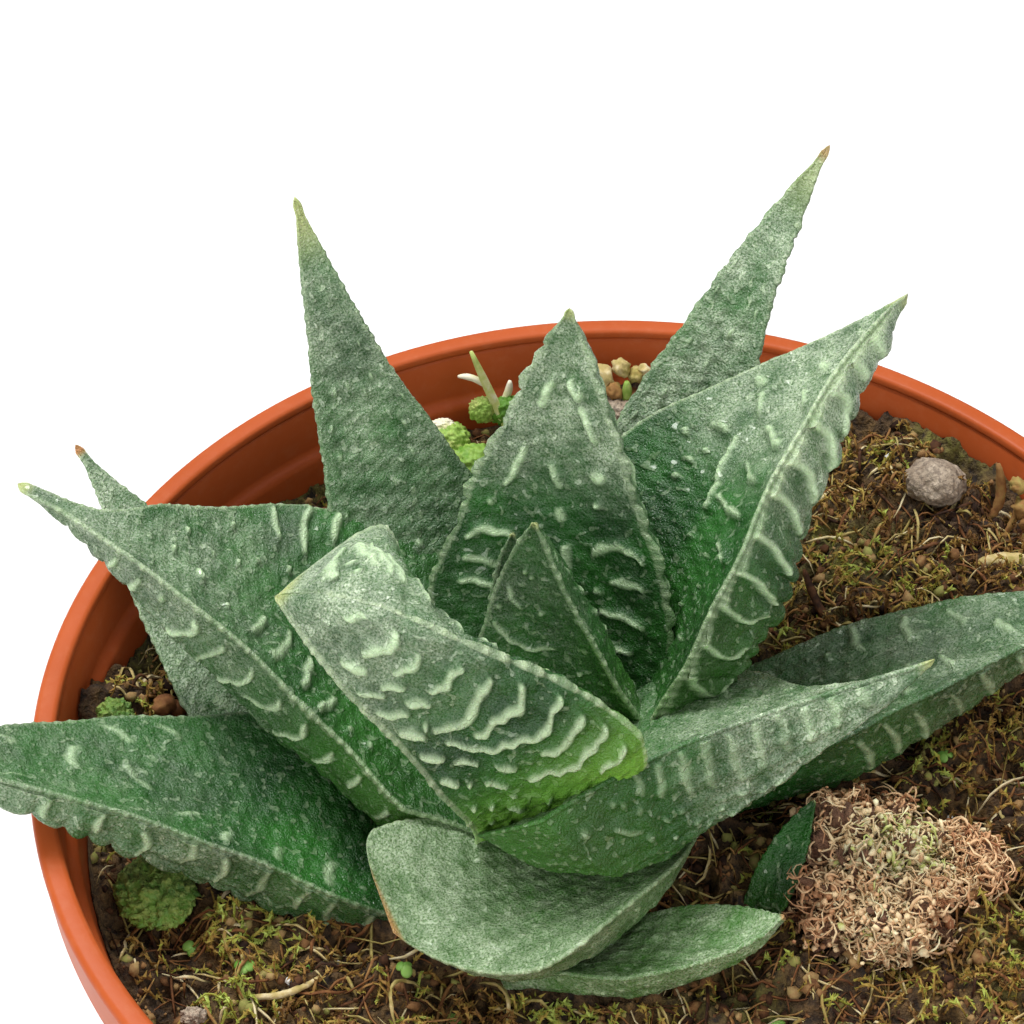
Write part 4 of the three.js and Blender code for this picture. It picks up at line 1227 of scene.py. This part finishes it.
def crumbsAndPerlite():
    table, draw = scatterKind("peat_crumbs")
    template, faces = crumbTemplate()
    places = placesOnMix(table["count"], draw, leafClear["crumb"])
    sizes = between(table["size"], draw.random(len(places)) ** 3)
    tints = patchTint(places[:, :2].tolist(), draw, 0.25)
    points = crumbPoints(places, sizes, template, draw)
    tiledPiece("peat_crumbs", points, faces, tints, peatCrumb)

    table, draw = scatterKind("perlite")
    places = placesOnMix(table["count"], draw, leafClear["crumb"])
    places[:, 2] += 0.2
    sizes = between(table["size"], draw.random(len(places)))
    points = crumbPoints(places, sizes, template, draw)
    tiledPiece("perlite", points, faces, draw.random(len(places)), perliteGrain, False)


def fibresAndMoss():
    template, faces = strandTemplate(strandRings, 3)
    table, draw = scatterKind("peat_fibres")
    paths = groundPaths(table, draw)
    radii = between(table["radius"], draw.random(len(paths)) ** 1.5)
    points = strandPoints(paths, radii, template, draw)
    tiledPiece("peat_fibres", points, faces, draw.random(len(paths)), peatStrand)

    table, draw = scatterKind("moss_stems")
    stems = groundPaths(table, draw, mossAmount)
    radii = between(table["radius"], draw.random(len(stems)))
    tints = patchTint(stems[:, 2, :2].tolist(), draw)
    points = strandPoints(stems, radii, template, draw)
    tiledPiece("moss_stems", points, faces, tints * 0.8, mossGreen)

    # Leaflets stand off each stem on all sides but the underside
    leaflets, draw = scatterKind("moss_leaflets")
    template, faces = leafletTemplate()
    onStem = leaflets["onStem"]
    k = draw.random((len(stems), onStem)) * (strandRings - 1.01)
    ring = k.astype(int)
    part = (k - ring)[..., None]
    row = np.arange(len(stems))[:, None]
    base = (stems[row, ring] * (1 - part) + stems[row, ring + 1] * part).reshape(-1, 3)
    along = (stems[row, ring + 1] - stems[row, ring]).reshape(-1, 3)
    along /= np.linalg.norm(along, axis=1, keepdims=True)
    away = draw.normal(size=base.shape) * (1, 1, 0.6) + (0, 0, 0.7)
    frames = framesAlong(0.7 * along + away / np.linalg.norm(away, axis=1, keepdims=True), draw)
    length = between(leaflets["length"], draw.random(len(base)))[:, None, None]
    wide = length * leaflets["wide"]
    shape = template[None] * np.concatenate([wide, wide * 0.6, length], 2)
    points = np.einsum("nvk,nkc->nvc", shape, frames) + base[:, None, :]
    tint = np.clip(np.repeat(tints, onStem) + draw.normal(0, 0.15, len(base)), 0, 1)
    tiledPiece("moss_leaflets", points, faces, tint, mossGreen, False)


# Tints listed over the dry moss: place, how far it reaches and the tint
clumpTints = [
    ((15, -8), 4, 0.22), ((20, -3), 3, 0.2), ((19, -9), 3.5, 0.74), ((23, -10), 3, 0.86),
    ((25, -9), 3, 0.98), ((21, -15), 3, 0.5), ((26, -14), 2.5, 0.3), ((22, -19), 3, 0.62),
    ((14, -14), 3, 0.18), ((30, -7), 4, 0.26), ((12, -13), 3, 0.15),
]


def clumpTint(points, draw):
    x, y = points[:, 0], points[:, 1]
    total, weight = 0.4 * 0.02, 0.02
    for (a, b), reach, tint in clumpTints:
        share = np.exp(-((x - a) ** 2 + (y - b) ** 2) / (reach * reach))
        total = total + share * tint
        weight = weight + share
    return np.clip(total / weight + draw.normal(0, 0.17, len(points)), 0, 1)


def clumpDetail(shares):
    surface = []
    for thing, share in shares:
        points = np.array([vert.co[:] for vert in thing.data.vertices]) / mm
        normals = np.array([vert.normal[:] for vert in thing.data.vertices])
        surface.append((points, normals, share))
    table, draw = scatterKind("clump_fibres")
    k = np.linspace(0, 1, strandRings)
    paths = []
    for points, normals, share in surface:
        made = 0
        while made < table["count"] * share:
            pick = draw.integers(len(points))
            place, out = points[pick], normals[pick]
            if out[2] < -0.35 or nearLeaf(place, leafClear["clumpPlace"]):
                continue
            along = np.cross(out, draw.normal(size=3)) + out * draw.normal(0.15, 0.25)
            along /= np.linalg.norm(along)
            across = np.cross(out, along)
            length = between(table["length"], draw.random() ** 2)
            wobble = draw.normal(0, 0.6) * np.sin(math.pi * 2 * k * draw.random())
            wobble = wobble + draw.normal(0, 0.22, strandRings)
            lift = 0.05 + table["lift"] * draw.random() * np.sin(math.pi * k)
            path = (place + along * length * (k[:, None] - 0.5) + across * wobble[:, None] * length * 0.3
                    + out * lift[:, None])
            made += 1
            if not any(nearLeaf(path[end], leafClear["clumpEnd"]) for end in (0, -1)):
                paths.append(path)
    paths = np.array(paths)
    template, faces = strandTemplate(strandRings, 3)
    radii = between(table["radius"], draw.random(len(paths)) ** 2)
    tints = clumpTint(paths[:, 2], draw)
    points = strandPoints(paths, radii, template, draw)
    tiledPiece("clump_fibres", points, faces, tints, clumpStrand)

    table, draw = scatterKind("clump_crumbs")
    template, faces = crumbTemplate()
    points, normals = surface[0][:2]
    picks = draw.integers(len(points), size=table["count"])
    picks = [pick for pick in picks if not nearLeaf(points[pick], leafClear["clumpCrumb"])]
    sizes = between(table["size"], draw.random(len(picks)) ** 2)
    places = points[picks] + normals[picks] * draw.random((len(picks), 1))
    tints = clumpTint(places, draw)
    points = crumbPoints(places, sizes, template, draw)
    tiledPiece("clump_crumbs", points, faces, tints, clumpStrand)


# Single things listed one by one: sticks and straws from end to end, with their thickness and tint
stickTable = {
    "dark_stick": {
        "path": [(15.3, 23.6, 3.0), (16.8, 21.4, 1.6), (18.6, 18.6, -0.4)], "radius": 0.42, "tint": 0.08,
    },
    "thick_straw": {
        "path": [(31.5, 25.3, 0.6), (35.5, 25.0, 1.1), (40.5, 23.5, 0.7)], "radius": 0.85, "tint": 0.85,
    },
    "long_straw": {
        "path": [(-43, 10, 1.0), (-40, 4, 1.2), (-36, 0.5, 0.4)], "radius": 0.22, "tint": 0.95,
    },
    "front_straw": {
        "path": [(-31, -25.2, 0.5), (-28, -24.6, 1.0), (-25.5, -22.8, 0.7)], "radius": 0.3, "tint": 0.9,
    },
    "arched_straw": {
        "path": [(-12, -21.5, 0.2), (-9.5, -24.5, 1.6), (-9.8, -28, 0.3)], "radius": 0.16, "tint": 0.8,
    },
    "loop_straw": {
        "path": [(-16, -22.5, 0.3), (-19, -24, 2.4), (-18.4, -27.5, 0.2)], "radius": 0.15, "tint": 0.75,
    },
    "back_twig": {
        "path": [(33, 31, 0.2), (33.8, 32, 3), (33.2, 33, 6)], "radius": 0.5, "tint": 0.45,
    },
    "side_twig": {
        "path": [(34.3, 29.5, 0.2), (35.2, 30.2, 2.4), (35.3, 31, 4.6)], "radius": 0.35, "tint": 0.5,
    },
    "root_loop": {
        "path": [(29, 18, 0.3), (32, 21, 2.2), (29.6, 25, 0.3)], "radius": 0.14, "tint": 0.3,
    },
    "left_husk": {
        "path": [(-42.8, 6, 0.4), (-41.5, 3.4, 1.4), (-40.5, 1.4, 0.3)], "radius": 0.45, "tint": 0.62,
    },
}
# Clods, most of them heaped behind the middle leaf: place, height above the mix, half size and tint
clodTable = [
    (-6.2, 46.2, 4.6, 1.0, 1.0), (-4.6, 46.4, 3.4, 1.5, 0.86), (-2.9, 46.6, 3.9, 1.3, 0.82),
    (-1.4, 46.3, 3.2, 1.2, 0.74), (-3.6, 45.4, 2.2, 1.3, 0.5), (-0.6, 46.2, 4.2, 0.9, 0.9),
    (0.4, 46.6, 3.6, 0.8, 0.95), (-5.4, 45.6, 1.8, 1.4, 0.3), (-1.6, 45.2, 1.2, 1.4, 0.25),
    (1.4, 45.8, 2.0, 1.1, 0.35), (-42.3, 3.2, 1.0, 1.5, 0.28), (-41.2, 3.6, 0.8, 1.2, 0.24),
    (36, 30, 1.6, 1.6, 0.5), (35.2, 31.4, 3.0, 1.2, 0.62), (36.6, 29.2, 0.8, 1.5, 0.4),
]


def clods(seed=22):
    template, faces = crumbTemplate(3)
    draw = np.random.default_rng(seed)
    table = np.array(clodTable)
    places = np.array([(x, y, heightOfMix(x, y) + above) for x, y, above in table[:, :3].tolist()])
    bumps = []
    for i in range(len(places)):
        bumps.append([noise.turbulence((v * 1.7 + 3 * i).tolist(), 3, False) for v in template])
    swell = 0.8 + 0.32 * np.array(bumps)[..., None]
    shape = template[None] * swell * table[:, 3][:, None, None] * (1, 0.85, 0.75)
    points = turnAnyWay(shape, places, draw)
    tiledPiece("clods", points, faces, table[:, 4], peatStrand)


def strandsByHand(name, table, heightAt, material, sides, seed, rings=16, rough=0):
    template, faces = strandTemplate(rings, sides)
    draw = np.random.default_rng(seed)
    paths = []
    for strand in table.values():
        places = [np.array([x, y, heightAt(x, y) + above]) for x, y, above in strand["path"]]
        paths.append(bentPath(*places, rings))
    radii, tints = (np.array([strand[key] for strand in table.values()]) for key in ("radius", "tint"))
    points = strandPoints(np.array(paths), radii, template, draw)
    if rough:
        points += rough * draw.normal(size=points.shape)
    tiledPiece(name, points, faces, tints, material)


# Where the seedlings stand on the mix
seedlingPlaces = [
    (-36.7, -19.6), (-32, -22.4), (-27.2, -21.6), (-14, -25.2), (-18.3, -21.9), (-41.8, 7.8), (29.7, 21.8),
    (28, 3.8), (13.2, -24), (30.3, -4.1),
]


def seedlings():
    table, draw = scatterKind("seedling_leaves")
    template, faces = crumbTemplate(3)
    places = [(x, y, groundAt(x, y)) for x, y in seedlingPlaces]
    places = np.array([(x, y, z + 0.5) for x, y, z in places if not nearLeaf((x, y, z), leafClear["place"])])
    # Three small round leaves at each place, leaning outwards
    places = np.repeat(places, 3, 0)
    turn = draw.random(len(places)) + np.tile(np.arange(3) * 2.1, len(places) // 3)
    sizes = between(table["size"], draw.random(len(places)))[:, None]
    out = np.stack([np.cos(turn), np.sin(turn), 0 * turn], 1)
    frames = framesAlong(out * 0.45 + (0, 0, 1), draw)
    shape = template[None] * sizes[..., None] * (1, 0.85, 0.4)
    points = np.einsum("nvk,nkc->nvc", shape, frames) + (places + out * sizes * 0.8)[:, None, :]
    tiledPiece("seedling_leaves", points, faces, draw.random(len(places)), seedlingLeaf)


crumbsAndPerlite()
print("crumbs and perlite")
fibresAndMoss()
print("fibres and moss")
clumpDetail([(lumpPieces["moss_clump"], 0.87), (lumpPieces["moss_tail"], 0.13)])
strandsByHand("sticks", stickTable, groundAt, peatStrand, sides=8, seed=21, rough=0.04)
clods()
seedlings()
print("dry moss, sticks and seedlings")


# ---- the seedling with its shoot, and the stem

sproutTable = {
    "cushion": {"at": (-17, 38.3, 1.0), "size": (2.7, 2.3, 2.1), "tint": 0.42},
    "bract": {"at": (-19.6, 41, 1.2), "size": (2.2, 1.8, 1.8), "tint": 0.55},
    "whiteTop": {"at": (-20.3, 41.6, 2.4), "size": (1.4, 0.9, 0.9), "tint": 0.95},
    "leafLow": {"at": (-16.4, 42.6, 4.0), "size": (1.5, 1.1, 1.7), "tint": 0.58},
    "leafHigh": {"at": (-14.0, 42.9, 3.8), "size": (1.9, 1.4, 1.9), "tint": 0.2},
    "leafBack": {"at": (-13.0, 42.2, 2.4), "size": (1.6, 1.4, 1.5), "tint": 0.25},
}
shootTable = {
    "shoot": {
        "path": [(-12.9, 41.2, 0.4), (-14.9, 42.4, 4.6), (-17.6, 43.8, 10.6)], "radius": 0.46, "tint": 0.78,
    },
    "fork": {
        "path": [(-16.3, 43.2, 6.6), (-17.4, 43.4, 7.4), (-18.9, 43.6, 7.8)], "radius": 0.34, "tint": 0.95,
    },
    "bud": {
        "path": [(-14.6, 43.2, 4.6), (-14.0, 43.6, 5.6), (-13.8, 43.8, 7.0)], "radius": 0.4, "tint": 0.95,
    },
    "spike": {
        "path": [(-2.2, 45, 0.3), (-2.2, 45.1, 1.9), (-2.3, 45.3, 3.4)], "radius": 0.5, "tint": 0.55,
    },
}
sproutStops = [(0.0, (0.04, 0.12, 0.012)), (0.3, (0.12, 0.27, 0.03)), (0.55, (0.3, 0.46, 0.09)),
               (0.78, (0.6, 0.62, 0.22)), (1.0, (0.85, 0.8, 0.62))]


def sproutPieces():
    material = tintedMaterial("sproutSkin", sproutStops, 700, 0.5)
    ball, faces = crumbTemplate(5)
    swell = np.array([noise.turbulence((point * 4.5).tolist(), 2, False) for point in ball])[:, None]
    shapes = []
    for part in sproutTable.values():
        x, y, above = part["at"]
        centre = np.array([x, y, heightOfMix(x, y) + above])
        shapes.append(centre + ball * (0.9 + 0.18 * swell) * part["size"])
    tints = np.array([part["tint"] for part in sproutTable.values()])
    leaves = tiledPiece("sprout_leaves", np.array(shapes), faces, tints, material)
    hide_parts("weed_sprout")
    strandsByHand("sprout_shoot", shootTable, heightOfMix, material, sides=10, seed=31)


stemColours = {"dark": (0.3, 0.38, 0.12), "light": (0.5, 0.55, 0.26)}


def stemMaterial():
    material, tree, shader = newMaterial("paleStemSkin")
    cloud = mottle(tree, (400, 3, 0.5), 0.35, 0.65)
    colour = blendColours(tree, cloud, stemColours["dark"], stemColours["light"])
    dress(tree, shader, colour, 0.55, noiseOf(tree, 1800, 2, 0.5), 0.0001, 0.5)
    return material


sproutPieces()
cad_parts["stem"].material_slots[0].material = stemMaterial()
print("seedling and stem")


# ---- camera, floor and light

# Places and sizes in metres, the lens and its sensor in millimetres, turns in degrees and power in watts
cameraView = {"lens": 100, "sensor": 36, "place": (0, -0.1623, 0.2809), "down": 45.28, "turn": 3.77}
lampTable = {
    "keySoftbox": {"place": (-0.25, 0.28, 0.84), "size": 0.35, "power": 7.2},
    "frontSoftbox": {"place": (0.35, -0.55, 0.5), "size": 0.5, "power": 1.9},
    "lowSoftbox": {"place": (-0.5, -0.5, 0.35), "size": 0.5, "power": 2.8},
    "topSoftbox": {"place": (0.2, 0.1, 1.0), "size": 0.8, "power": 2.0},
}
studio = {"floor": 0.93, "floorHalf": 3, "sky": 0.28, "aim": (0, 0, 0.09)}


def cameraAndLight():
    data = bpy.data.cameras.new("photoView")
    data.lens, data.sensor_width = cameraView["lens"], cameraView["sensor"]
    data.clip_start = 0.01
    camera = addObject("photoView", data)
    camera.location = cameraView["place"]
    camera.rotation_euler = (math.radians(90 - cameraView["down"]), 0, math.radians(cameraView["turn"]))
    bpy.context.scene.camera = camera

    bm = bmesh.new()
    bmesh.ops.create_grid(bm, x_segments=2, y_segments=2, size=studio["floorHalf"])
    mesh = bpy.data.meshes.new("floor")
    bm.to_mesh(mesh)
    bm.free()
    material, tree, shader = newMaterial("paleFloor")
    shader.inputs["Base Color"].default_value = (studio["floor"], studio["floor"], studio["floor"], 1)
    shader.inputs["Roughness"].default_value = 0.6
    mesh.materials.append(material)
    floor = addObject("floor", mesh)

    for name, lamp in lampTable.items():
        light = bpy.data.lights.new(name, "AREA")
        light.size, light.energy = lamp["size"], lamp["power"]
        holder = addObject(name, light)
        holder.location = lamp["place"]
        aim = Vector(studio["aim"]) - holder.location
        holder.rotation_euler = aim.to_track_quat("-Z", "Y").to_euler()
    world = bpy.data.worlds.new("studio")
    world.use_nodes = True
    background = world.node_tree.nodes["Background"]
    background.inputs["Color"].default_value = (1, 1, 1, 1)
    background.inputs["Strength"].default_value = studio["sky"]
    bpy.context.scene.world = world
    bpy.context.scene.view_settings.view_transform = "Standard"


cameraAndLight()
print("camera and light")
